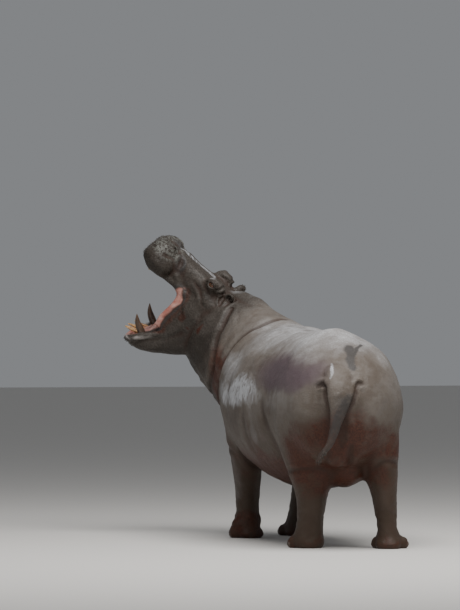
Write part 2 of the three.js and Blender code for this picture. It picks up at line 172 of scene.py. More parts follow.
class Volume:
    """Signed distances, negative inside, at grid points that are one step apart."""

    def __init__(self, low, high, step):
        self.step = step
        self.first = np.floor(np.array(low) / step).astype(int)
        last = np.ceil(np.array(high) / step).astype(int)
        self.values = np.empty(tuple(last - self.first + 1), np.float32)
        self.transform = openvdb.createLinearTransform(step)

    def corner(self):
        return tuple(int(k) for k in self.first)

    def fill(self, names, reach):
        """Distances to the union of CAD nodes, known as far as reach from its surface."""
        points, triangles = corners(names)
        make = openvdb.FloatGrid.createLevelSetFromPolygons
        rough = make(
            points, triangles=triangles, transform=self.transform, halfWidth=EDGE_STEPS
        )
        points, _, quads = rough.convertToPolygons(isovalue=CUT_CLOSER)
        band = reach / self.step
        clean = make(
            points, quads=quads, transform=self.transform, exBandWidth=band, inBandWidth=band
        )
        clean.copyToArray(self.values, ijk=self.corner())
        self.values += CUT_CLOSER
        return self

    def window(self, centre, reach):
        """The distances within reach of a centre, and the grid index where they start."""
        low = np.floor((np.array(centre) - reach) / self.step).astype(int) - self.first
        high = np.ceil((np.array(centre) + reach) / self.step).astype(int) - self.first + 1
        low, high = low.clip(0), np.minimum(high, self.values.shape)
        if (high <= low).any():
            return None, None
        return self.values[tuple(map(slice, low, high))], low + self.first

    def points(self):
        """Where the distances are, in the same order."""
        index = np.indices(self.values.shape, np.int32).reshape(3, -1).T
        return (index + self.first).astype(np.float32) * np.float32(self.step)

    def at(self, points):
        """The distances at any points, interpolated."""
        place = np.asarray(points) / self.step - self.first
        place = place.clip(0, np.array(self.values.shape) - 1.001)
        base = place.astype(int)
        part = place - base
        return sum(
            weight * self.values[tuple((base + corner).T)]
            for corner, weight in cell_weights(part)
        )

    def on_surface(self, points):
        """Points moved straight to the surface."""
        points = np.array(points, float)
        for _ in range(SETTLING_ROUNDS):
            distance = self.at(points)
            shifts = np.eye(3) * self.step
            slope = np.stack([self.at(points + d) - self.at(points - d) for d in shifts], -1)
            slope /= np.linalg.norm(slope, axis=1, keepdims=True) + 1e-9
            points -= distance[:, None] * slope
        return points

    def mesh(self):
        """The points and quads of the surface."""
        edge = EDGE_STEPS * self.step
        grid = openvdb.FloatGrid(edge)
        grid.transform = self.transform
        grid.copyFromArray(self.values.clip(-edge, edge), ijk=self.corner())
        points, _, quads = grid.convertToPolygons(isovalue=0)
        return points, quads[:, ::-1].astype(np.int32)


def smoothed(values, cells):
    """Three box blurs along each axis, which make nearly a Gaussian as wide as cells."""
    wide = 2 * cells + 1
    for axis in range(3):
        for _ in range(3):
            edges = [(0, 0)] * 3
            edges[axis] = (cells + 1, cells)
            total = np.cumsum(np.pad(values, edges, mode="edge"), axis, dtype=np.float64)
            ends, starts = [slice(None)] * 3, [slice(None)] * 3
            ends[axis], starts[axis] = slice(wide, None), slice(None, -wide)
            values = ((total[tuple(ends)] - total[tuple(starts)]) / wide).astype(np.float32)
    return values


def step_up(x, low, high):
    """0 below low and 1 above high, with a smooth rise between."""
    t = ((x - low) / (high - low)).clip(0, 1)
    return t * t * (3 - 2 * t)


def step_down(x, low, high):
    return 1 - step_up(x, low, high)


# ---- Sculpting tools ------------------------------------------------------------------------

volumes = []
NEAR = 0.06  # reliefs change the distances this close to the surface
CLEARANCE = 0.01  # how far beyond a shape its distances are still worked out
LIP_AT = 2.1  # how many furrow widths from its middle a furrow's swollen edge lies


def union(a, b, soft):
    """The nearer of two distances, with the corner between them filled softly."""
    if not soft:
        return np.minimum(a, b)
    near = (soft - np.abs(a - b)).clip(0) / soft
    return np.minimum(a, b) - near * near * soft / 4


def without(a, b, soft):
    return -union(-a, b, soft)


def sculpt(place, centre, reach, change, near=FAR):
    """Changes the distances within reach of a centre: change(distances, the frame's points)."""
    for volume in volumes:
        values, start = volume.window(place @ Vector(centre), reach)
        if values is None:
            continue
        chosen = np.argwhere(np.abs(values) < near)
        points = (chosen + start) * np.float32(volume.step)
        index = tuple(chosen.T)
        values[index] = change(values[index], local(points.astype(np.float32), place))


def ball(points, centre, radii, turn=None):
    """Distance to an ellipsoid."""
    offset = points - np.array(centre, np.float32)
    if turn is not None:
        offset = offset @ np.array(turn.to_3x3(), np.float32)
    radii = np.array(radii, np.float32)
    outer = np.linalg.norm(offset / radii, axis=-1)
    inner = np.linalg.norm(offset / radii**2, axis=-1) + 1e-6
    return outer * (outer - 1) / inner


def along(points, route, radii=None):
    """Distance to a route, or to a tube round it, and how far along it the nearest point is."""
    radii = np.zeros(len(route)) if radii is None else radii
    nearest = np.full(len(points), FAR, np.float32)
    share = np.zeros(len(points), np.float32)
    for k, (a, b, ra, rb) in enumerate(zip(route, route[1:], radii, radii[1:])):
        step = (b - a).astype(np.float32)
        offset = points - a.astype(np.float32)
        t = (offset @ step / (step @ step + 1e-12)).clip(0, 1)
        gap = np.linalg.norm(offset - t[:, None] * step, axis=-1) - (ra + (rb - ra) * t)
        closer = gap < nearest
        nearest[closer] = gap[closer]
        share[closer] = ((k + t) / (len(route) - 1))[closer]
    return nearest, share


def curve(stops, count=24):
    """A smooth open curve through its stops."""
    stops = np.array(stops, float)
    padded = np.vstack([2 * stops[0] - stops[1], stops, 2 * stops[-1] - stops[-2]])
    found = []
    for t in np.linspace(0, len(stops) - 1 - 1e-6, count):
        k = int(t)
        a, b, c, d = padded[k : k + 4]
        u = t - k
        bend = (2 * a - 5 * b + 4 * c - d) * u**2 + (3 * b - 3 * c + d - a) * u**3
        found.append((2 * b + (c - a) * u + bend) / 2)
    return np.array(found)


def spread(values, count):
    return np.interp(np.linspace(0, 1, count), np.linspace(0, 1, len(values)), values)


def surrounding(route, margin):
    """The centre and radius of a ball that holds a route with a margin round it."""
    centre = (route.min(0) + route.max(0)) / 2
    return centre, np.linalg.norm(route - centre, axis=1).max() + margin


def add_ball(place, centre, radii, soft=0.02, turn=None, carve=False):
    mix = without if carve else union
    reach = max(radii) + soft + CLEARANCE
    sculpt(place, centre, reach, lambda f, p: mix(f, ball(p, centre, radii, turn), soft))


def add_tube(place, stops, radii, soft=0.02, carve=False, count=12):
    mix = without if carve else union
    route, fat = curve(stops, count), spread(radii, count)
    centre, reach = surrounding(route, max(radii) + soft + CLEARANCE)
    sculpt(place, centre, reach, lambda f, p: mix(f, along(p, route, fat)[0], soft))


def swell(place, centre, radii, height):
    """Raises the surface round a centre in a soft hump, or lowers it if height is negative."""

    def change(f, p):
        offset = (p - np.array(centre, np.float32)) / np.array(radii, np.float32)
        return f - height * np.exp(-(offset**2).sum(-1))

    sculpt(place, centre, 2.2 * max(radii), change, NEAR)


def furrow(place, stops, depth, width, lip=0.35, ends=0.7, count=20):
    """Sinks a soft furrow along a curve, which is carried to the surface, and swells its edges.
    A negative depth raises a ridge. ends is how slowly it fades in and out."""
    source = body if place is WORLD else head
    route = source.on_surface(world(curve(stops, count), place))
    centre, reach = surrounding(route, 4 * width)

    def change(f, p):
        gap, share = along(p, route)
        fade = np.sin(np.pi * share.clip(0.001, 0.999)) ** ends
        wide = width * (0.55 + 0.45 * fade)
        edge = np.exp(-(((gap - LIP_AT * wide) / wide) ** 2))
        return f + depth * fade * (np.exp(-((gap / wide) ** 2)) - lip * edge)

    sculpt(WORLD, centre, reach, change, NEAR)


# ---- The skin's volumes ---------------------------------------------------------------------

BODY_STEP, HEAD_STEP, DETAIL_STEP = 0.01, 0.005, 0.002
MARGIN = 0.04
BODY_REACH, HEAD_REACH = 0.12, 0.06
TRUNK_BLUR, LIMB_BLUR, HEAD_BLUR = 4, 2, 2  # in steps of their own grids
LIMBS_END = (0.45, 0.75)  # heights between which the legs' smoothing becomes the trunk's
SEAM = placed((-0.022, -0.826, 1.228), turn=40, lift=35)  # the fine mesh ends across the neck
SEAM_SPREAD = 0.46  # more than the neck's radius there
FINE_ENDS = (-0.16, -0.04)  # the head's own shape gives way to the body's before the seam
MOUTH_PARTS = [n for n in nodes if n.startswith(("canine", "incisor", "tongue"))]
HEAD_PARTS = ["head", "jaw", "neck", "eye_left", "eye_right", *MOUTH_PARTS]


def body_volume():
    pad = Vector((MARGIN,) * 3)
    volume = Volume(cad_box[0] - pad, cad_box[1] + pad, BODY_STEP).fill(nodes, BODY_REACH)
    limbs = smoothed(volume.values, LIMB_BLUR)
    trunk = smoothed(volume.values, TRUNK_BLUR)
    heights = (np.arange(limbs.shape[2]) + volume.first[2]) * BODY_STEP
    volume.values = limbs + step_up(heights, *LIMBS_END) * (trunk - limbs)
    return volume


def head_volume(body):
    boxes = [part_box(n) for n in HEAD_PARTS if n != "neck"]
    low = np.min([b[0] for b in boxes], axis=0) - MARGIN
    high = np.max([b[1] for b in boxes], axis=0) + MARGIN
    seam = np.array(SEAM.translation)
    low, high = np.minimum(low, seam - SEAM_SPREAD), np.maximum(high, seam + SEAM_SPREAD)
    volume = Volume(low, high, HEAD_STEP).fill(HEAD_PARTS, HEAD_REACH)
    volume.values = smoothed(volume.values, HEAD_BLUR)
    points = volume.points()
    share = step_up(local(points, SEAM)[:, 1], *FINE_ENDS)
    behind = share > 0
    values = volume.values.reshape(-1)
    coarse = body.at(points[behind])
    values[behind] += share[behind] * (coarse - values[behind])
    return volume


def detail_volume(source, place, centre, reach):
    """A small, finer copy of a volume round a centre."""
    middle_point = np.array(place @ Vector(centre))
    volume = Volume(middle_point - reach, middle_point + reach, DETAIL_STEP)
    volume.values = source.at(volume.points()).reshape(volume.values.shape).astype(np.float32)
    return volume


body = body_volume()
head = head_volume(body)
volumes += [body, head]

# ---- Trunk ----------------------------------------------------------------------------------

# Soft humps and hollows of the trunk: centre, radii and height.
TRUNK_FORMS = {
    "left shoulder blade": ((0.26, -0.42, 1.12), (0.16, 0.15, 0.26), 0.02),
    "behind the left shoulder": ((0.31, -0.14, 1.05), (0.12, 0.07, 0.26), -0.014),
    "left elbow": ((0.2, -0.38, 0.72), (0.12, 0.12, 0.14), 0.012),
    "right shoulder blade": ((-0.6, -0.42, 1.1), (0.14, 0.16, 0.28), 0.018),
    "behind the right shoulder": ((-0.72, -0.12, 1.0), (0.12, 0.08, 0.26), -0.014),
    "left hip": ((0.08, 0.98, 1.3), (0.14, 0.16, 0.12), 0.014),
    "right hip": ((-0.46, 0.98, 1.32), (0.14, 0.16, 0.12), 0.01),
    "left thigh": ((0.22, 1.08, 0.84), (0.14, 0.2, 0.24), 0.016),
    "right thigh": ((-0.56, 1.18, 0.84), (0.14, 0.2, 0.24), 0.01),
    "left flank": ((0.3, 0.7, 0.98), (0.12, 0.12, 0.22), -0.01),
    "right flank": ((-0.7, 0.7, 0.98), (0.12, 0.12, 0.22), -0.018),
    "rump top": ((-0.16, 0.95, 1.48), (0.2, 0.16, 0.1), 0.02),
    "loin": ((-0.16, 0.52, 1.48), (0.22, 0.16, 0.1), -0.01),
    "right of the rump": ((-0.36, 1.02, 1.4), (0.12, 0.26, 0.12), -0.016),
    "withers": ((-0.12, -0.42, 1.5), (0.2, 0.16, 0.12), 0.014),
    "left buttock": ((0.1, 1.3, 0.88), (0.12, 0.12, 0.22), 0.01),
    "right buttock": ((-0.26, 1.36, 0.88), (0.12, 0.12, 0.22), 0.01),
    "belly": ((-0.2, 0.2, 0.36), (0.3, 0.4, 0.1), 0.01),
    "belly between the hind legs": ((-0.12, 1.06, 0.48), (0.16, 0.18, 0.08), 0.022),
    "left hind shin": ((0.145, 0.91, 0.28), (0.07, 0.14, 0.2), -0.022),
    "mud on the left forefoot": ((0.165, -0.44, 0.105), (0.035, 0.05, 0.02), 0.022),
}

# Furrows of the trunk: depth, width and stops.
TRUNK_FURROWS = {
    "spine": (0.006, 0.05, (-0.17, 0.7, 1.47), (-0.18, 0.2, 1.46), (-0.16, -0.3, 1.48)),
    "flank fold": (
        0.007, 0.04, (0.32, 0.36, 0.94), (0.311, 0.32, 0.843), (0.28, 0.32, 0.74),
        (0.22, 0.34, 0.6),
    ),
    "stifle fold": (
        0.01, 0.046, (0.27, 0.62, 1.0), (0.261, 0.667, 0.871), (0.194, 0.73, 0.685),
        (0.097, 0.68, 0.534),
    ),
    "right flank fold": (
        0.006, 0.044, (-0.74, 0.38, 0.96), (-0.72, 0.33, 0.84), (-0.68, 0.32, 0.72),
        (-0.6, 0.34, 0.6),
    ),
    "right stifle fold": (
        0.009, 0.05, (-0.69, 0.62, 1.02), (-0.68, 0.7, 0.86), (-0.6, 0.78, 0.66),
        (-0.48, 0.76, 0.54),
    ),
    "left thigh crease": (
        0.008, 0.017, (0.16, 0.93, 0.5), (0.14, 1.03, 0.53), (0.06, 1.13, 0.545),
        (-0.05, 1.13, 0.54),
    ),
    "right thigh crease": (
        0.01, 0.019, (-0.53, 1.2, 0.56), (-0.5, 1.28, 0.575), (-0.4, 1.31, 0.575),
        (-0.33, 1.24, 0.51),
    ),
    "between the buttocks": (
        0.012, 0.03, (-0.07, 1.46, 0.96), (-0.085, 1.44, 0.8), (-0.1, 1.37, 0.66),
    ),
    "left of the perineum": (
        0.01, 0.022, (0.01, 1.36, 0.68), (-0.015, 1.33, 0.62), (-0.02, 1.25, 0.54),
    ),
    "right of the perineum": (
        0.018, 0.024, (-0.146, 1.43, 0.72), (-0.15, 1.38, 0.64), (-0.18, 1.26, 0.555),
    ),
    "left armpit": (0.014, 0.024, (0.2, -0.24, 0.66), (0.1, -0.28, 0.58), (0.0, -0.34, 0.55)),
    "left elbow fold": (0.007, 0.018, (0.27, -0.55, 0.7), (0.25, -0.42, 0.62), (0.18, -0.32, 0.6)),
    "right elbow fold": (
        0.007, 0.018, (-0.6, -0.62, 0.72), (-0.58, -0.5, 0.63), (-0.5, -0.42, 0.6),
    ),
    "chest": (0.01, 0.04, (0.1, -0.78, 0.74), (-0.06, -0.84, 0.66), (-0.26, -0.84, 0.68)),
}

for centre, radii, height in TRUNK_FORMS.values():
    swell(WORLD, centre, radii, height)
for depth, width, *stops in TRUNK_FURROWS.values():
    furrow(WORLD, stops, depth, width)

add_ball(WORLD, (-0.078, 1.305, 0.6), (0.055, 0.055, 0.05), soft=0.04)  # the perineum

# ---- Neck -----------------------------------------------------------------------------------

# The furrows between the neck's rolls, from the nape down and under the throat, likewise.
NECK_FURROWS = {
    "behind the ear": (
        0.044, 0.026, (0.112, -0.775, 1.605), (0.13, -0.761, 1.58), (0.202, -0.713, 1.453),
        (0.238, -0.712, 1.374), (0.269, -0.694, 1.196), (0.25, -0.78, 1.08), (0.17, -0.9, 1.0),
        (0.06, -0.97, 0.98),
    ),
    "shoulder": (
        0.042, 0.032, (-0.232, -0.47, 1.51), (-0.1, -0.42, 1.5), (0.01, -0.395, 1.465),
        (0.12, -0.44, 1.385), (0.2, -0.489, 1.267), (0.243, -0.557, 1.093), (0.231, -0.683, 0.965),
        (0.14, -0.8, 0.86), (0.0, -0.86, 0.8),
    ),
    "right, high": (
        0.008, 0.034, (-0.1, -0.8, 1.62), (-0.18, -0.96, 1.5), (-0.18, -1.06, 1.34),
        (-0.1, -1.12, 1.2),
    ),
    "right, low": (
        0.009, 0.04, (-0.26, -0.7, 1.52), (-0.36, -0.84, 1.36), (-0.36, -0.94, 1.16),
        (-0.26, -0.98, 0.98),
    ),
    "throat, high": (
        0.01, 0.03, (0.3, -0.94, 1.16), (0.2, -1.06, 1.13), (0.06, -1.12, 1.16),
        (-0.04, -1.12, 1.24),
    ),
}

# The rolls between those furrows: height, width and stops.
NECK_ROLLS = {
    "front": (
        0.014, 0.04, (0.1, -0.7, 1.57), (0.17, -0.655, 1.46), (0.225, -0.645, 1.34),
        (0.255, -0.65, 1.18),
    ),
    "shoulder": (
        0.016, 0.045, (-0.05, -0.3, 1.48), (0.12, -0.35, 1.4), (0.22, -0.41, 1.26),
        (0.27, -0.47, 1.08),
    ),
}

for depth, width, *stops in NECK_FURROWS.values():
    furrow(WORLD, stops, depth, width, lip=0.15)
for height, width, *stops in NECK_ROLLS.values():
    furrow(WORLD, stops, -height, width, lip=0)

# ---- Legs and feet --------------------------------------------------------------------------

# Where each foot stands and where its toes point.
FEET = {
    "front_left": ((0.078, -0.472), 30),
    "front_right": ((-0.336, -0.702), 5),
    "hind_left": ((0.026, 0.938), 15),
    "hind_right": ((-0.476, 1.16), -25),
}
# Their shapes, in the foot's frame or a toe's: centres and radii, or stops.
PAD = ((0, 0.045, 0.025), (0.08, 0.06, 0.04))
TOE = ((0, -0.08, 0.034), (0.041, 0.053, 0.05))
CLEFT = [(0, -0.132, 0), (0, -0.12, 0.045), (0, -0.1, 0.095), (0, -0.09, 0.14)]
CLEFT_RADII = (0.012, 0.012, 0.008, 0.002)
TOE_ANGLES = (-66, -23, 23, 66)
CLEFT_ANGLES = (-45, 0, 45)
WRINKLES = ((0.115, 0.005, -60), (0.15, 0.003, -130), (0.19, 0.003, 20))  # height, depth, start
WRINKLE_REACH, WRINKLE_WIDTH = 0.1, 0.014
# The swollen joint and the hollow on its other side: centre, radii and height.
JOINTS = {
    "hind": [
        ((0, 0.13, 0.3), (0.07, 0.07, 0.09), 0.018), ((0, -0.1, 0.24), (0.07, 0.05, 0.08), -0.008),
    ],
    "front": [
        ((0, -0.11, 0.3), (0.08, 0.06, 0.09), 0.012), ((0, 0.11, 0.22), (0.07, 0.06, 0.08), -0.008),
    ],
}


def shape_foot(name, at, turn):
    """A pad, four toes with clefts between them, and wrinkles above."""
    foot = placed((*at, 0), turn=turn)
    add_ball(foot, *PAD, soft=0.03)
    for angle in TOE_ANGLES:
        add_ball(foot @ placed(turn=angle), *TOE, soft=0.012)
    for angle in CLEFT_ANGLES:
        add_tube(foot @ placed(turn=angle), CLEFT, CLEFT_RADII, soft=0.012, carve=True)
    for height, depth, start in WRINKLES:
        bend = np.radians(start + np.arange(0, 121, 40))
        stops = [(WRINKLE_REACH * np.sin(a), -WRINKLE_REACH * np.cos(a), height) for a in bend]
        furrow(WORLD, world(stops, foot), depth, WRINKLE_WIDTH)
    for form in JOINTS[name.split("_")[0]]:
        swell(foot, *form)


for name, (at, turn) in FEET.items():
    shape_foot(name, at, turn)

# ---- Tail -----------------------------------------------------------------------------------

# The flat tail: stops down its middle, and its half-width and half-thickness at each.
TAIL = [
    ((-0.07, 1.385, 1.16), 0.098, 0.06), ((-0.064, 1.462, 1.075), 0.096, 0.042),
    ((-0.045, 1.494, 0.98), 0.073, 0.032), ((-0.018, 1.504, 0.85), 0.041, 0.025),
    ((0.018, 1.502, 0.718), 0.023, 0.017), ((0.078, 1.496, 0.633), 0.012, 0.011),
    ((0.1, 1.492, 0.598), 0.008, 0.007),
]
TAIL_STOPS = [stop for stop, _, _ in TAIL]
TAIL_BEADS = 90


def shape_tail():
    """A row of flat balls that merge."""
    line = curve(TAIL_STOPS, TAIL_BEADS)
    widths, depths = (spread([entry[k] for entry in TAIL], TAIL_BEADS) for k in (1, 2))
    for at, wide, deep, step in zip(line, widths, depths, np.gradient(line, axis=0)):
        lean = math.atan2(step[0], -step[2])
        turn = Matrix.Rotation(-lean, 4, "Y")
        add_ball(WORLD, at, (wide, deep, max(deep, 0.02)), soft=0.008, turn=turn)


# The folds beside the tail's root: depth, width and stops.
TAIL_FOLDS = {
    "left": (0.026, 0.015, (0.085, 1.39, 1.07), (0.05, 1.42, 1.092), (0.03, 1.45, 1.075)),
    "left, down": (0.01, 0.014, (0.034, 1.44, 1.08), (0.036, 1.45, 1.02), (0.03, 1.46, 0.93)),
    "right": (0.022, 0.014, (-0.215, 1.44, 1.08), (-0.18, 1.47, 1.095), (-0.16, 1.48, 1.06)),
    "right, down": (0.01, 0.014, (-0.162, 1.48, 1.07), (-0.14, 1.49, 1.0), (-0.1, 1.49, 0.92)),
}
shape_tail()
for depth, width, *stops in TAIL_FOLDS.values():
    furrow(WORLD, stops, depth, width, lip=0.5)

# ---- Head: skull and muzzle -----------------------------------------------------------------

# Soft humps and hollows of both halves of the head, in its frame.
HEAD_FORMS = {
    "brow": ((0.104, 0.04, 0.04), (0.045, 0.06, 0.03), 0.006),
    "temple": ((0.135, 0.085, -0.06), (0.05, 0.04, 0.05), -0.012),
    "below the eye": ((0.15, -0.05, -0.07), (0.05, 0.06, 0.05), -0.008),
    "cheekbone": ((0.16, 0.03, -0.11), (0.05, 0.08, 0.04), 0.01),
    "rostrum side": ((0.125, -0.21, -0.1), (0.04, 0.1, 0.06), -0.014),
    "rostrum edge": ((0.075, -0.2, -0.002), (0.03, 0.12, 0.03), 0.008),
    "lip pocket": ((0.112, -0.262, -0.04), (0.024, 0.022, 0.028), -0.016),
    "behind the nostril": ((0.055, -0.322, 0.004), (0.04, 0.022, 0.03), -0.018),
    "front of the lip": ((0.11, -0.5, -0.13), (0.06, 0.05, 0.06), 0.012),
    "lip corner": ((0.17, -0.33, -0.17), (0.05, 0.05, 0.05), 0.008),
}
THROAT_FORM = ((0.1, -0.32, -0.215), (0.1, 0.14, 0.08), 0.022)  # in the jaw's frame
# Humps and hollows on the head's middle line.
HEAD_MIDDLE_FORMS = {
    "forehead": ((0, 0.03, 0.01), (0.05, 0.08, 0.04), -0.01),
    "bridge": ((0, -0.18, 0.0), (0.035, 0.13, 0.03), 0.006),
    "bridge end": ((0, -0.312, 0.0), (0.04, 0.024, 0.03), 0.012),
    "between the nostrils": ((0, -0.4, -0.005), (0.03, 0.06, 0.03), -0.012),
    "lip cleft": ((0, -0.52, -0.1), (0.02, 0.05, 0.07), -0.01),
}
# Furrows of both halves of the head: depth, width and stops.
HEAD_FURROWS = {
    "lip crease": (
        0.007, 0.011, (0.175, -0.405, -0.058), (0.16, -0.37, -0.052), (0.125, -0.3, -0.046),
    ),
    "rostrum crease": (
        0.009, 0.014, (0.05, -0.305, 0.0), (0.1, -0.268, -0.022), (0.128, -0.244, -0.08),
    ),
    "rostrum fold": (
        0.003, 0.012, (0.096, -0.215, -0.014), (0.122, -0.205, -0.06), (0.124, -0.2, -0.11),
    ),
    "cheek line": (0.006, 0.014, (0.125, -0.12, -0.07), (0.15, -0.02, -0.1), (0.175, 0.06, -0.16)),
    "behind the brow": (
        0.012, 0.012, (0.06, 0.12, 0.02), (0.105, 0.118, 0.02), (0.14, 0.092, -0.02),
    ),
    "across the brow": (
        0.006, 0.01, (0.07, 0.085, 0.045), (0.11, 0.088, 0.05), (0.142, 0.07, 0.02),
        (0.15, 0.05, -0.01),
    ),
    "inside the brow": (
        0.006, 0.012, (0.062, -0.01, 0.01), (0.068, 0.04, 0.022), (0.062, 0.09, 0.02),
    ),
    "below the ear": (
        0.018, 0.013, (0.112, 0.125, 0.0), (0.135, 0.13, -0.045), (0.158, 0.165, -0.085),
    ),
    "behind the ear": (0.014, 0.013, (0.09, 0.215, 0.01), (0.13, 0.215, -0.01), (0.17, 0.2, -0.07)),
}

for side in SIDES.values():
    for centre, radii, height in HEAD_FORMS.values():
        swell(HEAD, mirrored(centre, side), radii, height)
    for depth, width, *stops in HEAD_FURROWS.values():
        furrow(HEAD, mirrored_all(stops, side), depth, width)
    centre, radii, height = THROAT_FORM
    swell(JAW, mirrored(centre, side), radii, height)
for centre, radii, height in HEAD_MIDDLE_FORMS.values():
    swell(HEAD, centre, radii, height)

# ---- Head: mouth ----------------------------------------------------------------------------

# The left half of the lower lip's rim, in the jaw's frame, and its thickness.
LIP_STOPS = [
    (0.14, -0.38, -0.06), (0.16, -0.46, -0.04), (0.174, -0.55, -0.024), (0.15, -0.64, -0.012),
    (0.08, -0.682, -0.012),
]
LIP_RADII = (0.008, 0.017, 0.021, 0.022, 0.018)


def shape_lower_lip():
    left = LIP_STOPS
    right = mirrored_all(left[::-1], RIGHT)
    add_tube(JAW, left + right, (*LIP_RADII, *reversed(LIP_RADII)), soft=0.03, count=24)


# The front edge of each cheek, as degrees about the hinge and distances from it.
WEB_EDGE = ((62, 0.335), (53, 0.275), (43, 0.238), (31, 0.242), (20, 0.28), (10, 0.35), (3, 0.405))
WEB_TRIM = (0, 0.052, 0.058, 0.058, 0.058, 0.052, 0)  # how far before it the flesh is trimmed
WEB_SIDE = (0.112, 0.14)  # how far aside it lies at its top and at its foot
UPPER_LIP = [
    (0.15, -0.42, -0.172), (0.134, -0.33, -0.186), (0.12, -0.25, -0.19), (0.114, -0.17, -0.19),
    (0.112, -0.1, -0.19),
]


def web_stops(side):
    """The front edge of a cheek, in the jaw's frame."""
    angles, reaches = np.array(WEB_EDGE).T
    lateral, bend = np.interp(angles, (0, 62), WEB_SIDE[::-1]), np.radians(angles)
    return np.stack([lateral * side, -reaches * np.cos(bend), reaches * np.sin(bend)], -1)


def shape_cheek_webs():
    """A thick front edge, and stretched folds that run side by side with it about the hinge."""
    for side in SIDES.values():
        stops, reaches = web_stops(side), np.array(WEB_EDGE)[:, 1]
        before = stops * (1 + np.array(WEB_TRIM) / reaches)[:, None] * (0, 1, 1)
        before = before[1:-1] + stops[1:-1] * (1, 0, 0)
        add_tube(JAW, before, (0.02, 0.034, 0.034, 0.02), soft=0.012, carve=True, count=24)
        add_tube(JAW, stops, (0.022, 0.024, 0.022, 0.018), soft=0.03, count=24)
        upper = mirrored_all(UPPER_LIP, side)
        add_tube(HEAD, upper, (0.024, 0.022, 0.02, 0.022), soft=0.03, count=20)
        for reach, depth in ((0.165, 0.002), (0.212, 0.003)):
            bend = np.radians((-4, 14, 32, 50))
            stops = [(0.19 * side, -reach * np.cos(a), reach * np.sin(a)) for a in bend]
            furrow(JAW, stops, depth, 0.01)


def shape_palate():
    """The soft ridges across the roof of the mouth."""
    for y in np.arange(-0.16, -0.4, -0.032):
        stops = [(0.085, y - 0.012, -0.205), (0, y + 0.006, -0.19), (-0.085, y - 0.012, -0.205)]
        furrow(HEAD, stops, -0.006, 0.009, lip=0.3)


shape_lower_lip()
shape_cheek_webs()
shape_palate()

# ---- Head: eyes, ears and nostrils ----------------------------------------------------------

EYE_RADIUS = 0.027
EYE_TURN, EYE_LIFT = 72, 14  # which way the eyes look
EAR = Vector((0.128, 0.163, 0.016))
EAR_LIFT, EAR_LEAN = 24, 34
NOSTRIL = Vector((0.082, -0.36, 0.004))
DETAIL_REACH = 0.074


def eye_frame(side):
    return HEAD @ placed(mirrored(EYE, side), turn=EYE_TURN * side, lift=EYE_LIFT)


def ear_frame(side):
    return HEAD @ placed(mirrored(EAR, side), lift=EAR_LIFT, roll=EAR_LEAN * side)


# The lids and the folds round an eye, in its frame: x runs back, -y looks out.
UPPER_LID = [
    (-0.03, -0.011, -0.004), (-0.018, -0.023, 0.015), (0.001, -0.027, 0.021),
    (0.019, -0.022, 0.014), (0.03, -0.01, -0.003),
]
LOWER_LID = [
    (-0.03, -0.011, -0.005), (-0.016, -0.022, -0.018), (0.002, -0.025, -0.022),
    (0.018, -0.02, -0.016), (0.03, -0.01, -0.004),
]
EYE_FOLDS = {
    "above the lid": (
        0.005, 0.005, (-0.038, -0.01, 0.006), (-0.016, -0.026, 0.031), (0.01, -0.024, 0.036),
        (0.038, -0.006, 0.016),
    ),
    "brow": (
        0.003, 0.006, (-0.046, -0.004, 0.026), (-0.018, -0.016, 0.048), (0.018, -0.012, 0.05),
        (0.05, 0.004, 0.028),
    ),
    "below the lid": (
        0.005, 0.005, (-0.04, -0.008, -0.02), (-0.014, -0.02, -0.034), (0.014, -0.018, -0.034),
        (0.038, -0.004, -0.016),
    ),
    "second below": (
        0.004, 0.006, (-0.044, -0.004, -0.036), (-0.012, -0.014, -0.048), (0.018, -0.012, -0.046),
        (0.046, 0.0, -0.026),
    ),
    "third below": (
        0.003, 0.007, (-0.036, 0.0, -0.056), (-0.006, -0.006, -0.062), (0.028, -0.004, -0.056),
    ),
    "inner corner": (
        0.005, 0.006, (-0.026, -0.014, -0.006), (-0.044, -0.008, -0.012), (-0.066, 0.002, -0.028),
    ),
    "outer corner": (
        0.003, 0.006, (0.026, -0.012, -0.002), (0.046, -0.004, -0.001), (0.064, 0.006, 0.004),
    ),
}
LID_RADII = (0.006, 0.0085, 0.0095, 0.0085, 0.006)
SOCKET = (0.04, 0.032, 0.038)


def shape_eye(side):
    eye = eye_frame(side)
    add_ball(eye, (0, 0.002, 0.002), SOCKET, soft=0.016)
    for depth, width, *stops in EYE_FOLDS.values():
        furrow(eye, mirrored_all(stops, side), depth, width, ends=1)
    add_ball(eye, (0, -0.012, -0.001), (0.027, 0.026, 0.023), soft=0.004, carve=True)
    for lid, thick in ((UPPER_LID, 1), (LOWER_LID, 0.8)):
        radii = [radius * thick for radius in LID_RADII]
        add_tube(eye, mirrored_all(lid, side), radii, soft=0.005)


EAR_BLADE = (0.02, 0.032, 0.041)
EAR_CUP = ((0.018, -0.003, 0.007), (0.017, 0.022, 0.029))
EAR_CANAL = ((0.006, -0.003, -0.004), (0.012, 0.009, 0.014))
EAR_RIDGE = [(0.004, -0.014, 0.022), (0.006, -0.006, 0.01), (0.012, -0.002, -0.012)]


def shape_ear(side):
    ear = ear_frame(side)
    add_ball(ear, (-0.008 * side, 0, -0.036), (0.024, 0.03, 0.03), soft=0.02)
    add_ball(ear, (0, 0, 0), EAR_BLADE, soft=0.01)
    for (centre, radii), soft in ((EAR_CUP, 0.004), (EAR_CANAL, 0.006)):
        add_ball(ear, mirrored(centre, side), radii, soft=soft, carve=True)
    add_tube(ear, mirrored_all(EAR_RIDGE, side), (0.002, 0.003, 0.002), soft=0.005)


NOSTRIL_SLIT = [
    (0.056, -0.338, 0.002), (0.07, -0.344, 0.01), (0.09, -0.362, 0.016), (0.102, -0.392, 0.012),
]
NOSTRIL_DEPTH = [(0.08, -0.352, 0.008), (0.076, -0.352, -0.012), (0.07, -0.36, -0.034)]


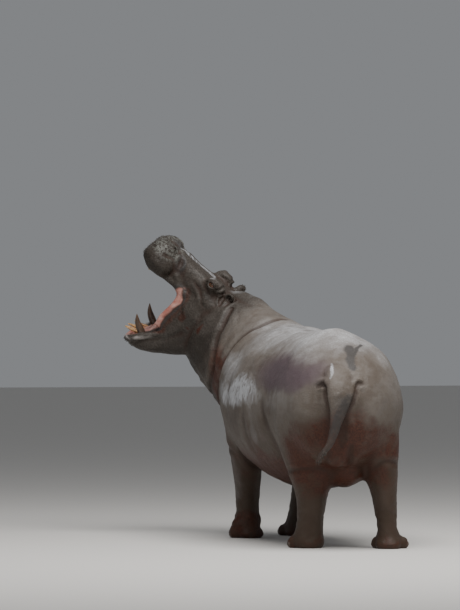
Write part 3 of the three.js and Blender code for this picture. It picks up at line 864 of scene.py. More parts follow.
def shape_nostril(side):
    slit = mirrored_all(NOSTRIL_SLIT, side)
    furrow(HEAD, slit, -0.009, 0.02, lip=0)
    add_tube(HEAD, slit, (0.007, 0.014, 0.012, 0.005), soft=0.006, carve=True)
    shaft = mirrored_all(NOSTRIL_DEPTH, side)
    add_tube(HEAD, shaft, (0.015, 0.011, 0.005), soft=0.008, carve=True)


details = []
for side in SIDES.values():
    for at in (EYE, EAR, NOSTRIL):
        details.append(detail_volume(head, HEAD, mirrored(at, side), DETAIL_REACH))
volumes += details
for side in SIDES.values():
    shape_eye(side)
    shape_ear(side)
    shape_nostril(side)

# ---- Skin mesh ------------------------------------------------------------------------------


def mesh_of(name, points, faces):
    mesh = bpy.data.meshes.new(name)
    mesh.vertices.add(len(points))
    mesh.vertices.foreach_set("co", np.ascontiguousarray(points, np.float32).ravel())
    mesh.loops.add(faces.size)
    mesh.loops.foreach_set("vertex_index", np.ascontiguousarray(faces, np.int32).ravel())
    mesh.polygons.add(len(faces))
    corners = np.arange(0, faces.size, faces.shape[1], dtype=np.int32)
    mesh.polygons.foreach_set("loop_start", corners)
    mesh.update(calc_edges=True)
    return mesh


def shown(name, mesh, material=None):
    """Puts a smooth mesh in the scene."""
    mesh.polygons.foreach_set("use_smooth", np.ones(len(mesh.polygons), bool))
    if material:
        mesh.materials.append(material)
    piece = bpy.data.objects.new(name, mesh)
    bpy.context.scene.collection.objects.link(piece)
    return piece


def points_of(mesh):
    found = np.empty(len(mesh.vertices) * 3, np.float32)
    mesh.vertices.foreach_get("co", found)
    return found.reshape(-1, 3)


def made_of(mesh):
    """A bmesh with a mesh's faces; the mesh itself goes."""
    made = bmesh.new()
    made.from_mesh(mesh)
    bpy.data.meshes.remove(mesh)
    return made


def half(volume, plane, side):
    """The part of a volume's surface on one side of a plane, as an open bmesh."""
    points, quads = volume.mesh()
    normal = np.array(plane.to_3x3() @ Vector((0, 1, 0))) * side
    beyond = (points - np.array(plane.translation)) @ normal
    kept = (beyond[quads] > -2 * volume.step).any(1)
    used, renamed = np.unique(quads[kept], return_inverse=True)
    made = made_of(mesh_of("half", points[used], renamed.reshape(-1, 4)))
    bmesh.ops.bisect_plane(
        made,
        geom=made.verts[:] + made.edges[:] + made.faces[:],
        plane_co=plane.translation,
        plane_no=normal,
        clear_inner=True,
    )
    return made


def rims(made):
    """The closed loops of vertices round the holes of a bmesh."""
    waiting = {edge for edge in made.edges if edge.is_boundary}
    found = []
    while waiting:
        edge = waiting.pop()
        loop = [edge.verts[0], edge.verts[1]]
        while loop[-1] is not loop[0]:
            edge = next(e for e in loop[-1].link_edges if e in waiting)
            waiting.remove(edge)
            loop.append(edge.other_vert(loop[-1]))
        found.append(loop[:-1])
    return sorted(found, key=len)[-2:]


def zipped(made):
    """Closes the narrow gap between two rims with triangles."""
    outer, inner = rims(made)
    start = min(range(len(inner)), key=lambda k: (inner[k].co - outer[0].co).length)
    inner = inner[start:] + inner[:start]
    quarter = outer[len(outer) // 4].co
    if (inner[len(inner) // 4].co - quarter).length > (inner[-len(inner) // 4].co - quarter).length:
        inner = inner[:1] + inner[:0:-1]
    i = j = 0
    while i < len(outer) or j < len(inner):
        a, b = outer[i % len(outer)], inner[j % len(inner)]
        next_a, next_b = outer[(i + 1) % len(outer)], inner[(j + 1) % len(inner)]
        outer_next = (next_a.co - b.co).length < (next_b.co - a.co).length
        if j == len(inner) or (i < len(outer) and outer_next):
            made.faces.new((a, next_a, b))
            i += 1
        else:
            made.faces.new((a, next_b, b))
            j += 1


def refined(made, volume):
    """Splits the faces within a detail volume's reach twice, and settles them on its surface."""
    centre = Vector((np.array(volume.values.shape) / 2 + volume.first) * volume.step)
    for share in (0.95, 0.88):
        reach = share * DETAIL_REACH
        faces = [f for f in made.faces if (f.calc_center_median() - centre).length < reach]
        edges = list({e for f in faces for e in f.edges})
        bmesh.ops.subdivide_edges(made, edges=edges, cuts=1, use_grid_fill=True)
    inside = [v for v in made.verts if (v.co - centre).length < DETAIL_REACH]
    points = np.array([v.co for v in inside])
    settled = volume.on_surface(points)
    distance = np.linalg.norm(points - np.array(centre), axis=1) / DETAIL_REACH
    share = 1 - step_up(distance, 0.8, 0.94)[:, None]
    for vertex, at in zip(inside, points + share * (settled - points)):
        vertex.co = at


def build_skin():
    """The coarse body and the fine head as one closed mesh."""
    made = half(body, SEAM @ placed((0, HEAD_STEP, 0)), 1)
    front = half(head, SEAM, -1)
    mesh = bpy.data.meshes.new("front")
    front.to_mesh(mesh)
    front.free()
    made.from_mesh(mesh)
    bpy.data.meshes.remove(mesh)
    zipped(made)
    for volume in details:
        refined(made, volume)
    bmesh.ops.recalc_face_normals(made, faces=made.faces)
    mesh = bpy.data.meshes.new("skin")
    made.to_mesh(mesh)
    made.free()
    return mesh


skin = shown("skin", build_skin())

# ---- Relief and markings --------------------------------------------------------------------

LATTICE = 32  # the random values repeat after this many lumps
SPOT_FADE = (0.4, 1.3)  # in radii of the spot
STREAK_POINTS = 16


def noise(points, size, seed):
    """Smooth random values from -1 to 1 in lumps of a size, which may differ by axis."""
    lattice = np.random.default_rng(seed).uniform(-1, 1, (LATTICE,) * 3).astype(np.float32)
    place = points / np.array(size, np.float32) + seed * 1.7
    base = np.floor(place).astype(int)
    part = place - base
    part = part * part * (3 - 2 * part)
    found = np.zeros(len(points), np.float32)
    for corner, weight in cell_weights(part):
        found += weight * lattice[tuple(((base + corner) % LATTICE).T)]
    return found


def warped(points, size, amount, seed):
    """Points pushed about at random, which makes outlines ragged."""
    return points + amount * np.stack([noise(points, size, seed + k) for k in range(3)], -1)


def wrinkles(points, size, seed):
    """Thin, wandering furrows: 1 in a furrow and 0 between."""
    return (1 - 4 * np.abs(noise(warped(points, 0.08, 0.02, seed), size, seed + 3))).clip(0)


def spot(points, place, centre, radii):
    """1 at a centre, fading to 0 a radius away."""
    offset = (local(points, place) - np.array(centre)) / np.array(radii)
    return step_down(np.linalg.norm(offset, axis=1), *SPOT_FADE)


def most(*shares):
    return functools.reduce(np.maximum, shares)


def streak(points, place, stops, width, surface=None):
    """1 on a curve, which may be carried to a surface first, fading to 0 a width away."""
    route = world(curve(stops, STREAK_POINTS), place)
    if surface:
        route = surface.on_surface(route)
    return step_down(along(points, route)[0], 0.3 * width, width)


def relief(points):
    """How far the skin's lumps and wrinkles stand out."""
    in_head, in_neck = local(points, HEAD), local(points, SEAM)
    height = points[:, 2]
    head_share = step_down(in_head[:, 1], 0.15, 0.35)
    muzzle = step_down(in_head[:, 1], -0.36, -0.28) * head_share
    neck = step_up(in_neck[:, 1], -0.26, -0.16) * step_down(in_neck[:, 1], 0.15, 0.4)
    neck *= 1 - head_share * 0.5
    legs = step_down(height, 0.3, 0.62)
    lumps = 0.0028 * noise(points, 0.11, 1) + 0.0012 * noise(points, 0.045, 2)
    rings = 0.0022 * neck * wrinkles(in_neck, (0.2, 0.04, 0.2), 10)
    sleeves = 0.0026 * legs * wrinkles(points, (0.1, 0.1, 0.032), 20)
    creases = 0.0012 * wrinkles(points, (0.09, 0.09, 0.05), 30)
    face = 0.0014 * head_share * wrinkles(in_head, (0.035, 0.03, 0.045), 40)
    crust = 0.0016 * muzzle * noise(in_head, 0.016, 50)
    tail = streak(points, WORLD, TAIL_STOPS, 0.11) * step_down(height, 1.0, 1.1)
    creases = creases + 0.0026 * tail * wrinkles(points, (0.05, 0.05, 0.022), 35)
    boot = streak(points, WORLD, BOOT, 0.24) * step_down(height, 0.14, 0.18)
    clods = 0.009 * noise(points, 0.05, 55) + 0.004 * noise(points, 0.022, 57)
    crust = crust + boot * (clods + 0.004)
    return lumps * (1 - 0.5 * head_share) - rings - sleeves - creases - face + crust


MOUTH_HALF = 0.104
MOUTH_OUTLINE = [  # forward and up in the jaw's frame, as in the CAD model
    (0.11, 0.012),
    (0.76, 0.012),
    (0.389, 0.514),
    (0.335, 0.5),
    (0.104, 0.124),
    (0.072, 0.06),
]
JAW_TRAY = ((0, -0.52, 0.07), (0.142, 0.19, 0.088))
PALATE_TRAY = ((0, -0.4, -0.25), (0.126, 0.12, 0.07))


def mouth_distance(points):
    """Distance to the hollow of the mouth."""
    in_jaw = local(points, JAW)
    found = np.abs(in_jaw[:, 0]) - MOUTH_HALF
    for a, b in zip(MOUTH_OUTLINE, MOUTH_OUTLINE[1:] + MOUTH_OUTLINE[:1]):
        forward, up = b[0] - a[0], b[1] - a[1]
        beyond = (-in_jaw[:, 1] - a[0]) * up - (in_jaw[:, 2] - a[1]) * forward
        found = np.maximum(found, beyond / math.hypot(forward, up))
    trays = np.minimum(ball(in_jaw, *JAW_TRAY), ball(local(points, HEAD), *PALATE_TRAY))
    return np.minimum(found, trays)


def web_distance(points):
    """Distance to the middle of the cheeks' front edges, and how far up those each point lies."""
    found, height = np.full(len(points), float(FAR)), np.zeros(len(points))
    for side in SIDES.values():
        gap, share = along(points, world(curve(web_stops(side)), JAW))
        height = np.where(gap < found, 1 - share, height)
        found = np.minimum(found, gap)
    return found, height


def hollows(points):
    """How deep in a fold each point lies, from 0 to 1, which sets the painted shade in the creases.
    """
    found = np.zeros(len(points), np.float32)
    for volume, blur, depth in ((body, 2, 0.0035), (head, 3, 0.003)):
        soft = Volume.__new__(Volume)
        soft.step, soft.first = volume.step, volume.first
        soft.values = smoothed(volume.values, blur)
        low, high = volume.first * volume.step, (volume.first + volume.values.shape) * volume.step
        inside = ((points > low) & (points < high)).all(1)
        if volume is head:
            inside &= local(points, SEAM)[:, 1] < 0
        found[inside] = (-soft.at(points[inside]) / depth).clip(0, 1)
    return found


# Pale, dry mud, and a painted highlight on the left brow (the head's patch): place, centre, radii
# and strength of each patch.
DRY_PATCHES = [
    (WORLD, (0.26, -0.24, 1.2), (0.14, 0.3, 0.12), 0.75),
    (WORLD, (-0.02, -0.84, 1.7), (0.1, 0.08, 0.05), 0.75),
    (WORLD, (0.0, 0.0, 1.46), (0.2, 0.5, 0.1), 0.75),
    (WORLD, (-0.48, 1.18, 1.32), (0.14, 0.22, 0.15), 0.75),
    (HEAD, (0.12, -0.02, 0.05), (0.03, 0.05, 0.02), 0.55),
    (WORLD, (0.005, -0.9, 1.71), (0.09, 0.1, 0.05), 0.6),
    (WORLD, (-0.7, -0.3, 1.0), (0.1, 0.24, 0.2), 0.75),
    (WORLD, (0.24, 0.95, 0.97), (0.16, 0.38, 0.12), 0.22),
    (WORLD, (0.16, -0.46, 0.46), (0.14, 0.16, 0.24), 0.28),
]
# Red mud, and painted shade under the belly and between the hind legs: place, centre and radii of
# each patch.
RED_PATCHES = [
    (WORLD, (-0.1, 1.36, 0.73), (0.36, 0.34, 0.21)),
    (WORLD, (0.12, 1.16, 0.68), (0.16, 0.24, 0.19)),
    (WORLD, (-0.46, 1.26, 0.68), (0.16, 0.2, 0.12)),
    (WORLD, (0.24, -0.66, 1.14), (0.12, 0.14, 0.24)),
    (WORLD, (0.12, 0.3, 0.5), (0.3, 0.6, 0.18)),
    (WORLD, (-0.12, 1.16, 0.49), (0.36, 0.42, 0.16)),
    (HEAD, (0.16, -0.03, -0.04), (0.02, 0.022, 0.014)),
    (JAW, (0.19, -0.165, -0.058), (0.03, 0.012, 0.026)),
    (JAW, (0.205, -0.08, -0.1), (0.04, 0.022, 0.03)),
    (JAW, (0.17, -0.2, 0.06), (0.04, 0.024, 0.05)),
]
# Where the other markings lie: the stops of streaks, and the centre and radii of patches.
RED_FOLD = [
    (0.235, -0.52, 1.17), (0.243, -0.557, 1.093), (0.231, -0.683, 0.965), (0.16, -0.78, 0.88),
]
BOOT = [(0.078, -0.472, 0.0), (0.085, -0.465, 0.14)]
THROAT = ((0.1, -0.8, 0.98), (0.26, 0.26, 0.3))
SHOULDER_PATCH = ((0.3, 0.06, 1.0), (0.22, 0.52, 0.13))
# A painted highlight on the ridge of a fold down the left flank.
FLANK_STRIPE = [(0.3, 0.42, 0.93), (0.285, 0.46, 0.8), (0.25, 0.42, 0.67)]
WHITE_STREAK = [(-0.022, 1.37, 1.226), (-0.013, 1.425, 1.175), (0.004, 1.461, 1.128)]
# A painted highlight along the ridge of the nose.
NOSE_RIDGE = [(-0.014, -0.325, 0.0), (-0.022, -0.178, 0.0), (-0.02, -0.03, 0.0)]
# The valley behind the nostrils, painted dark as shadow.
NOSTRIL_VALLEY = [
    (-0.06, -0.365, 0.004), (0.0, -0.34, 0.0), (0.04, -0.31, 0.0), (0.088, -0.28, -0.015),
    (0.115, -0.27, -0.05),
]
DAMP_MARK = [(-0.18, 1.231, 1.349), (-0.16, 1.343, 1.278), (-0.15, 1.416, 1.207)]
DAMP_BRANCH = [
    (-0.165, 1.36, 1.265), (-0.201, 1.304, 1.304), (-0.245, 1.225, 1.334), (-0.3, 1.155, 1.357),
]
TAIL_MARK = [(-0.1, 1.53, 0.98), (-0.06, 1.54, 0.9), (-0.02, 1.53, 0.8), (0.06, 1.51, 0.66)]
PURPLE_PATCH = ((0.16, 0.98, 1.15), (0.22, 0.6, 0.16))


def markings(points):
    """The skin's colours, painted shade and highlights among them, as shares from 0 to 1 at each
    point.
    """
    ragged = warped(warped(points, 0.16, 0.05, 60), 0.04, 0.014, 70)
    rough = warped(points, 0.05, 0.012, 75)
    in_head, in_jaw, in_neck = (local(ragged, place) for place in (HEAD, JAW, SEAM))
    height = ragged[:, 2]
    behind_head = step_up(in_neck[:, 1], -0.25, -0.05)
    grain = noise(points, 0.06, 80)
    muzzle = step_down(in_head[:, 1], -0.33, -0.27)

    # The mouth's flesh, the cheeks' front edges, and the bands round both.
    mouth = mouth_distance(points) + 0.006 * noise(points, 0.03, 90)
    web, web_height = web_distance(points)
    web += 0.008 * noise(points, 0.05, 92) + 0.04 * step_up(web_height, 0.78, 0.97)
    pink = step_down(mouth, 0.01, 0.026)
    pink *= 1 - step_up(np.abs(in_jaw[:, 0]), 0.108, 0.122) * step_up(in_jaw[:, 2], 0.03, 0.07)
    pink = most(pink, step_down(web, 0.027, 0.036))
    border = step_up(mouth, 0.022, 0.034) * step_down(mouth, 0.06, 0.095)
    border *= step_down(-in_jaw[:, 1], 0.5, 0.6)
    web_border = step_down(web, 0.055, 0.1) * step_down(web_height, 0.72, 0.88)

    dust_and_highlight = most(
        # pale dust on the top of the back, partly a painted sheen
        0.95 * step_up(height, 1.2, 1.44) * step_up(in_neck[:, 1], 0.1, 0.4),
        *(strength * spot(ragged, *patch) for *patch, strength in DRY_PATCHES),
        0.35 * streak(ragged, WORLD, FLANK_STRIPE, 0.055, body),
    )
    white = most(
        spot(ragged, WORLD, *SHOULDER_PATCH) * step_up(height, 0.85, 1.0),
        0.8 * streak(rough, WORLD, WHITE_STREAK, 0.015, body),
        # painted highlight along the ridge of the nose
        0.55 * streak(points, HEAD, NOSE_RIDGE, 0.034, head),
    )
    dark = most(
        streak(rough, WORLD, DAMP_MARK, 0.05, body) * (0.85 + 0.3 * grain),
        0.9 * streak(rough, WORLD, DAMP_BRANCH, 0.022, body),
        0.7 * step_up(web, 0.032, 0.04) * step_down(web, 0.044, 0.06),
        # painted shadow in the valley behind the nostrils
        streak(ragged, HEAD, NOSTRIL_VALLEY, 0.046, head),
        0.45 * streak(points, WORLD, TAIL_STOPS[2:], 0.1),
        streak(points, WORLD, TAIL_MARK, 0.085, body) * (0.8 + 0.4 * grain),
    )
    damp_and_shade = most(
        0.88 * step_down(in_neck[:, 1], -0.25, 0.05),
        muzzle,
        # painted shade under the jaw
        (1 - behind_head) * step_down(in_jaw[:, 2], -0.14, -0.02),
        0.9 * border,
        spot(ragged, WORLD, *THROAT),
    )
    red = most(
        # a reddish band low on the body: partly the skin's own tone, partly a painted reflection of
        # red ground
        0.45 * step_down(height, 0.4, 1.0) * step_up(height, 0.3, 0.5) * behind_head,
        *(spot(ragged, *patch) for patch in RED_PATCHES),
        0.5 * step_down(height, 0.05, 0.14),
        streak(ragged, WORLD, BOOT, 0.2) * step_down(height, 0.15, 0.2),
        0.75 * web_border,
    )
    red = most(red * (0.84 + 0.16 * behind_head), streak(ragged, WORLD, RED_FOLD, 0.1, body))
    return {
        "pink": pink,
        "dust_and_highlight": dust_and_highlight * (0.75 + 0.25 * grain),
        "crust": muzzle * step_up(in_head[:, 2], -0.085, -0.015),
        "red": red * (0.85 + 0.3 * grain).clip(0, 1),
        "damp_and_shade": damp_and_shade,
        "dark": dark.clip(0, 1),
        "white": white,
        "purple": spot(ragged, WORLD, *PURPLE_PATCH) * step_up(height, 1.02, 1.09),
        # painted shade: darker and browner towards the bottom of the body
        "low": step_down(height, 0.46, 1.08),
        "lip": lip_share(ragged),
        # painted shade in the creases
        "crease_shade": hollows(points),
    }


def lip_share(points):
    """The pale rim of the lower lip, strongest at the front."""
    forward = -local(points, JAW)[:, 1]
    found = np.zeros(len(points), np.float32)
    for side in SIDES.values():
        rim = [mirrored((x, y, z + 0.014), side) for x, y, z in LIP_STOPS]
        found = np.maximum(found, streak(points, JAW, rim, 0.03))
    return found * step_up(forward, 0.4, 0.62)


def keep_share(mesh, name, values):
    """Keeps a share for each point, which materials read by its name."""
    kept = mesh.attributes.new(name, "FLOAT", "POINT")
    kept.data.foreach_set("value", np.asarray(values, np.float32))


def finish_skin():
    """Adds the relief and stores the markings on the skin's points."""
    mesh = skin.data
    points = points_of(mesh)
    normals = np.empty(points.size, np.float32)
    mesh.vertex_normals.foreach_get("vector", normals)
    stored = markings(points)
    raised = relief(points) * step_up(points[:, 2], 0.0, 0.03) * (1 - 0.7 * stored["pink"])
    moved = points + normals.reshape(-1, 3) * raised[:, None]
    moved[:, 2] = moved[:, 2].clip(0)
    mesh.vertices.foreach_set("co", moved.astype(np.float32).ravel())
    for name, values in stored.items():
        keep_share(mesh, name, values)
    mesh.update()


finish_skin()

# ---- Materials ------------------------------------------------------------------------------


class Shader:
    """A procedural material, built from short calls. Arguments are values or sockets."""

    def __init__(self, name):
        self.material = bpy.data.materials.new(name)
        self.material.use_nodes = True
        self.tree = self.material.node_tree
        self.surface = self.tree.nodes["Principled BSDF"]
        self.where = self.tree.nodes.new("ShaderNodeTexCoord").outputs["Object"]

    def node(self, kind, inputs, output=0, **settings):
        made = self.tree.nodes.new("ShaderNode" + kind)
        for key, value in settings.items():
            setattr(made, key, value)
        for key, value in inputs.items():
            self.give(made.inputs[key], value)
        return made.outputs[output]

    def give(self, socket, value):
        if isinstance(value, bpy.types.NodeSocket):
            self.tree.links.new(value, socket)
        elif isinstance(value, tuple) and socket.type == "RGBA":
            socket.default_value = (*value, 1)
        else:
            socket.default_value = value

    def set(self, **inputs):
        for key, value in inputs.items():
            self.give(self.surface.inputs[key.replace("_", " ")], value)

    def share(self, name):
        return self.node("Attribute", {}, "Fac", attribute_name=name)

    def noise(self, scale, detail=4, distortion=0, where=None):
        inputs = {"Vector": where or self.where, "Scale": scale, "Detail": detail}
        return self.node("TexNoise", {**inputs, "Distortion": distortion}, "Fac")

    def stretched(self, scales, detail, distortion):
        """Noise whose lumps differ in size along x, y and z."""
        where = self.node("Mapping", {"Vector": self.where, "Scale": scales})
        return self.noise(1.0, detail, distortion, where)

    def cells(self, scale, where=None, **settings):
        inputs = {"Vector": where or self.where, "Scale": scale}
        return self.node("TexVoronoi", inputs, "Distance", **settings)

    def range(self, value, low, high, to_low=0.0, to_high=1.0):
        inputs = {"Value": value, "From Min": low, "From Max": high}
        return self.node("MapRange", {**inputs, "To Min": to_low, "To Max": to_high})

    def math(self, operation, *values):
        return self.node("Math", dict(enumerate(values)), operation=operation)

    def times(self, a, b):
        return self.math("MULTIPLY", a, b)

    def mix(self, share, a, b):
        made = self.tree.nodes.new("ShaderNodeMix")
        made.data_type = "RGBA"
        self.give(made.inputs[0], share)
        self.give(made.inputs[6], a)
        self.give(made.inputs[7], b)
        return made.outputs[2]

    def bump(self, height, distance, strength):
        return self.node("Bump", {"Height": height, "Distance": distance, "Strength": strength})

    def total(self, *parts):
        """The sum of (value, weight) pairs."""
        found = 0.0
        for value, weight in parts:
            found = self.math("MULTIPLY_ADD", value, weight, found)
        return found


GREY_BROWN, BROWN, PALE_PATCH = (0.142, 0.124, 0.108), (0.088, 0.07, 0.056), (0.17, 0.158, 0.146)
LOW_SHADE_BROWN, PURPLE, SPECK = (0.034, 0.018, 0.009), (0.08, 0.056, 0.064), (0.05, 0.04, 0.035)
RED_MUD_AND_SHADE, DARK_RED, CREASE_SHADE = (0.07, 0.02, 0.01), (0.035, 0.01, 0.006), (0.03, 0.015, 0.01)
DRY_MUD_AND_HIGHLIGHT, CHALK_AND_HIGHLIGHT, WHITE_MUD_AND_HIGHLIGHT = (0.3, 0.3, 0.305), (0.42, 0.42, 0.43), (0.43, 0.44, 0.46)
WET_AND_SHADE, DAMP_AND_SHADOW = (0.02, 0.0155, 0.012), (0.042, 0.038, 0.036)
CRUST, PIT, LIP = (0.125, 0.127, 0.113), (0.022, 0.019, 0.016), (0.4, 0.37, 0.35)
GUM, PALE_GUM, DARK_GUM = (0.36, 0.135, 0.105), (0.5, 0.29, 0.245), (0.14, 0.05, 0.04)
DUST_ROUGHNESS, PINK_GLOSS, HIDE_SPECULAR = (0.5, 0.85), 0.22, 0.22
HIDE_RELIEF = 0.0035


def hide_material():
    """Layers of colour, from the bare skin up to the mud, and then the mouth's flesh, with painted
    shade and highlights among them.
    """
    make = Shader("hide")
    blotch, patch, grain = make.noise(3.2, 5), make.noise(17, 5, 0.4), make.noise(95, 3)

    def ragged(share, texture, swing):
        return make.math("ADD", make.share(share), make.range(texture, 0.3, 0.7, -swing, swing))

    colour = make.mix(make.range(blotch, 0.35, 0.65), GREY_BROWN, BROWN)
    colour = make.mix(make.range(patch, 0.45, 0.75, 0, 0.45), colour, PALE_PATCH)
    colour = make.mix(make.range(make.cells(70), 0.0, 0.22, 0.3, 0), colour, SPECK)
    colour = make.mix(make.times(make.share("purple"), 0.9), colour, PURPLE)
    # painted shade, darker and browner low on the body
    colour = make.mix(make.times(make.share("low"), 0.8), colour, LOW_SHADE_BROWN)
    # wet, dark skin on the head and round the mouth, and painted shade under the jaw
    damp_and_shade = ragged("damp_and_shade", grain, 0.15)
    colour = make.mix(make.range(damp_and_shade, 0.15, 1.0, 0, 0.88), colour, WET_AND_SHADE)
    # red mud, painted shade under the belly, and a painted reflection of red ground low on the body
    red_mud_and_shade = make.mix(make.range(grain, 0.35, 0.65), RED_MUD_AND_SHADE, DARK_RED)
    red = ragged("red", patch, 0.25)
    colour = make.mix(make.range(red, 0.15, 0.85, 0, 0.88), colour, red_mud_and_shade)
    # dry mud, with painted highlights and a painted sheen on the back
    dry_mud_and_highlight = make.mix(make.range(grain, 0.35, 0.7), DRY_MUD_AND_HIGHLIGHT, CHALK_AND_HIGHLIGHT)
    dust_and_highlight = make.times(make.share("dust_and_highlight"), make.range(patch, 0.3, 0.7, 0.75, 1.2))
    dust_and_highlight = make.times(dust_and_highlight, make.range(grain, 0.35, 0.65, 0.9, 1.1))
    colour = make.mix(make.range(dust_and_highlight, 0.05, 1.0, 0, 0.85), colour, dry_mud_and_highlight)
    scratches = make.range(make.stretched((70, 26, 12), 3, 0.8), 0.35, 0.65, 0.35, 1.4)
    # white mud, and a painted highlight along the nose
    white = make.times(make.share("white"), scratches)
    colour = make.mix(make.range(white, 0.1, 0.9, 0, 0.8), colour, WHITE_MUD_AND_HIGHLIGHT)

    crust = make.share("crust")
    cracked = make.times(crust, make.range(make.noise(58, 6, 0.8), 0.44, 0.6))
    colour = make.mix(make.times(cracked, 0.8), colour, CRUST)
    pits = make.times(make.range(make.cells(38), 0.04, 0.2, 0.85, 0), crust)
    colour = make.mix(pits, colour, PIT)
    # wet marks, and painted shadow behind the nostrils
    dark = ragged("dark", grain, 0.15)
    colour = make.mix(make.range(dark, 0.15, 0.8, 0, 0.88), colour, DAMP_AND_SHADOW)

    flesh = make.mix(make.range(patch, 0.35, 0.65), GUM, PALE_GUM)
    flesh = make.mix(make.range(blotch, 0.52, 0.7, 0, 0.6), flesh, DARK_GUM)
    pink = make.share("pink")
    colour = make.mix(pink, colour, flesh)
    colour = make.mix(make.times(make.share("lip"), 0.8), colour, LIP)
    # painted shade in the creases
    colour = make.mix(make.times(make.share("crease_shade"), 0.6), colour, CREASE_SHADE)

    rough = make.range(make.share("dust_and_highlight"), 0, 1, *DUST_ROUGHNESS)
    rough = make.math("SUBTRACT", rough, make.times(pink, PINK_GLOSS))
    rough = make.math("ADD", rough, make.range(grain, 0.3, 0.7, -0.06, 0.06))

    bent = make.mix(0.06, make.where, make.node("TexNoise", {"Scale": 9.0}, "Color"))
    lines = make.cells(42, bent, feature="DISTANCE_TO_EDGE")
    fine_lines = make.cells(120, bent, feature="DISTANCE_TO_EDGE")
    lines = make.range(lines, 0, 0.25, 0, 0.16), make.range(fine_lines, 0, 0.3, 0, 0.1)
    swells = (patch, 0.8), (grain, 0.35), (make.noise(12, 2), 0.4), (pits, -0.9), (dark, 0.5)
    height = make.total(*((line, 1.0) for line in lines), *swells)
    make.set(Base_Color=colour, Roughness=rough, Normal=make.bump(height, HIDE_RELIEF, 0.7))
    make.set(Specular_IOR_Level=HIDE_SPECULAR)
    return make.material


TONGUE_PINK, TONGUE_PALE, TONGUE_BACK = (0.5, 0.2, 0.17), (0.62, 0.34, 0.29), (0.2, 0.08, 0.07)
NAIL_DARK, NAIL_LIGHT, NAIL_RING = (0.045, 0.03, 0.022), (0.1, 0.062, 0.044), (0.14, 0.11, 0.09)
EYE_VEIN, EYE_WHITE, PUPIL_BLACK = (0.15, 0.05, 0.035), (0.075, 0.03, 0.022), (0.004, 0.003, 0.003)
IRIS_DARK, IRIS_LIGHT = (0.05, 0.024, 0.012), (0.11, 0.052, 0.022)
BRISTLE_DARK, BRISTLE_LIGHT = (0.034, 0.027, 0.022), (0.09, 0.07, 0.054)


def ivory_material(name, root, tip, stain):
    """Enamel whose colour runs from root to tip, with stained streaks."""
    make = Shader(name)
    streaks = make.stretched((60, 60, 14), 4, 0.5)
    colour = make.mix(make.range(make.share("along"), 0.15, 0.95), root, tip)
    colour = make.mix(make.range(streaks, 0.42, 0.68, 0, 0.75), colour, stain)
    rough = make.range(streaks, 0.3, 0.7, 0.28, 0.5)
    make.set(Base_Color=colour, Roughness=rough, Normal=make.bump(streaks, 0.0012, 0.6))
    return make.material


def flesh_material():
    make = Shader("tongue")
    patch, grain = make.noise(14, 5), make.cells(210)
    colour = make.mix(make.range(patch, 0.35, 0.65), TONGUE_PINK, TONGUE_PALE)
    colour = make.mix(make.range(make.share("along"), 0.5, 0.0, 0, 0.5), colour, TONGUE_BACK)
    height = make.total((grain, 0.5), (patch, 1.0))
    rough = make.range(patch, 0.3, 0.7, 0.26, 0.42)
    make.set(Base_Color=colour, Roughness=rough, Normal=make.bump(height, 0.002, 0.6))
    return make.material


def nail_material():
    make = Shader("nail")
    ring, patch = make.stretched((30, 30, 160), 3, 0.3), make.noise(60, 4)
    colour = make.mix(make.range(patch, 0.35, 0.65), NAIL_DARK, NAIL_LIGHT)
    colour = make.mix(make.range(ring, 0.45, 0.65, 0, 0.5), colour, NAIL_RING)
    rough = make.range(patch, 0.3, 0.7, 0.4, 0.65)
    make.set(Base_Color=colour, Roughness=rough, Normal=make.bump(ring, 0.0015, 0.6))
    return make.material


def eye_material():
    """Dark brown iris with a level pupil, in a reddish white."""
    make = Shader("eye")
    veins = make.noise(160, 5, 1.2)
    white = make.mix(make.range(veins, 0.4, 0.62), EYE_VEIN, EYE_WHITE)
    iris = make.mix(make.range(make.noise(300, 3, 0.8), 0.35, 0.65), IRIS_DARK, IRIS_LIGHT)
    colour = make.mix(make.range(make.share("iris"), 0.42, 0.5), iris, white)
    colour = make.mix(make.range(make.share("pupil"), 0.9, 1.05), PUPIL_BLACK, colour)
    rough = make.range(veins, 0.3, 0.7, 0.06, 0.12)
    make.set(Base_Color=colour, Roughness=rough)
    return make.material


def bristle_material():
    make = Shader("bristle")
    patch = make.noise(120, 3)
    colour = make.mix(make.range(patch, 0.35, 0.65), BRISTLE_DARK, BRISTLE_LIGHT)
    make.set(Base_Color=colour, Roughness=make.range(patch, 0.3, 0.7, 0.45, 0.6))
    return make.material


skin.data.materials.append(hide_material())
FLESH = ["trunk", "neck", "head", "jaw", "tail"]
FLESH += [f"leg_{place}_{side}" for place in ("front", "hind") for side in SIDES]
FLESH += [f"ear_{side}" for side in SIDES]
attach(skin, "root")
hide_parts(*FLESH)

# ---- Teeth, tongue, nails and eyes ----------------------------------------------------------

# Each kind of tooth: the colours of its root, its tip and its stains.
ENAMEL = ivory_material("enamel", (0.33, 0.18, 0.08), (0.58, 0.42, 0.24), (0.16, 0.085, 0.04))
ORANGE_ENAMEL = ivory_material(
    "orange_enamel", (0.42, 0.2, 0.07), (0.58, 0.35, 0.15), (0.2, 0.09, 0.035)
)
TUSK = ivory_material("tusk", (0.05, 0.03, 0.02), (0.11, 0.062, 0.036), (0.02, 0.013, 0.01))


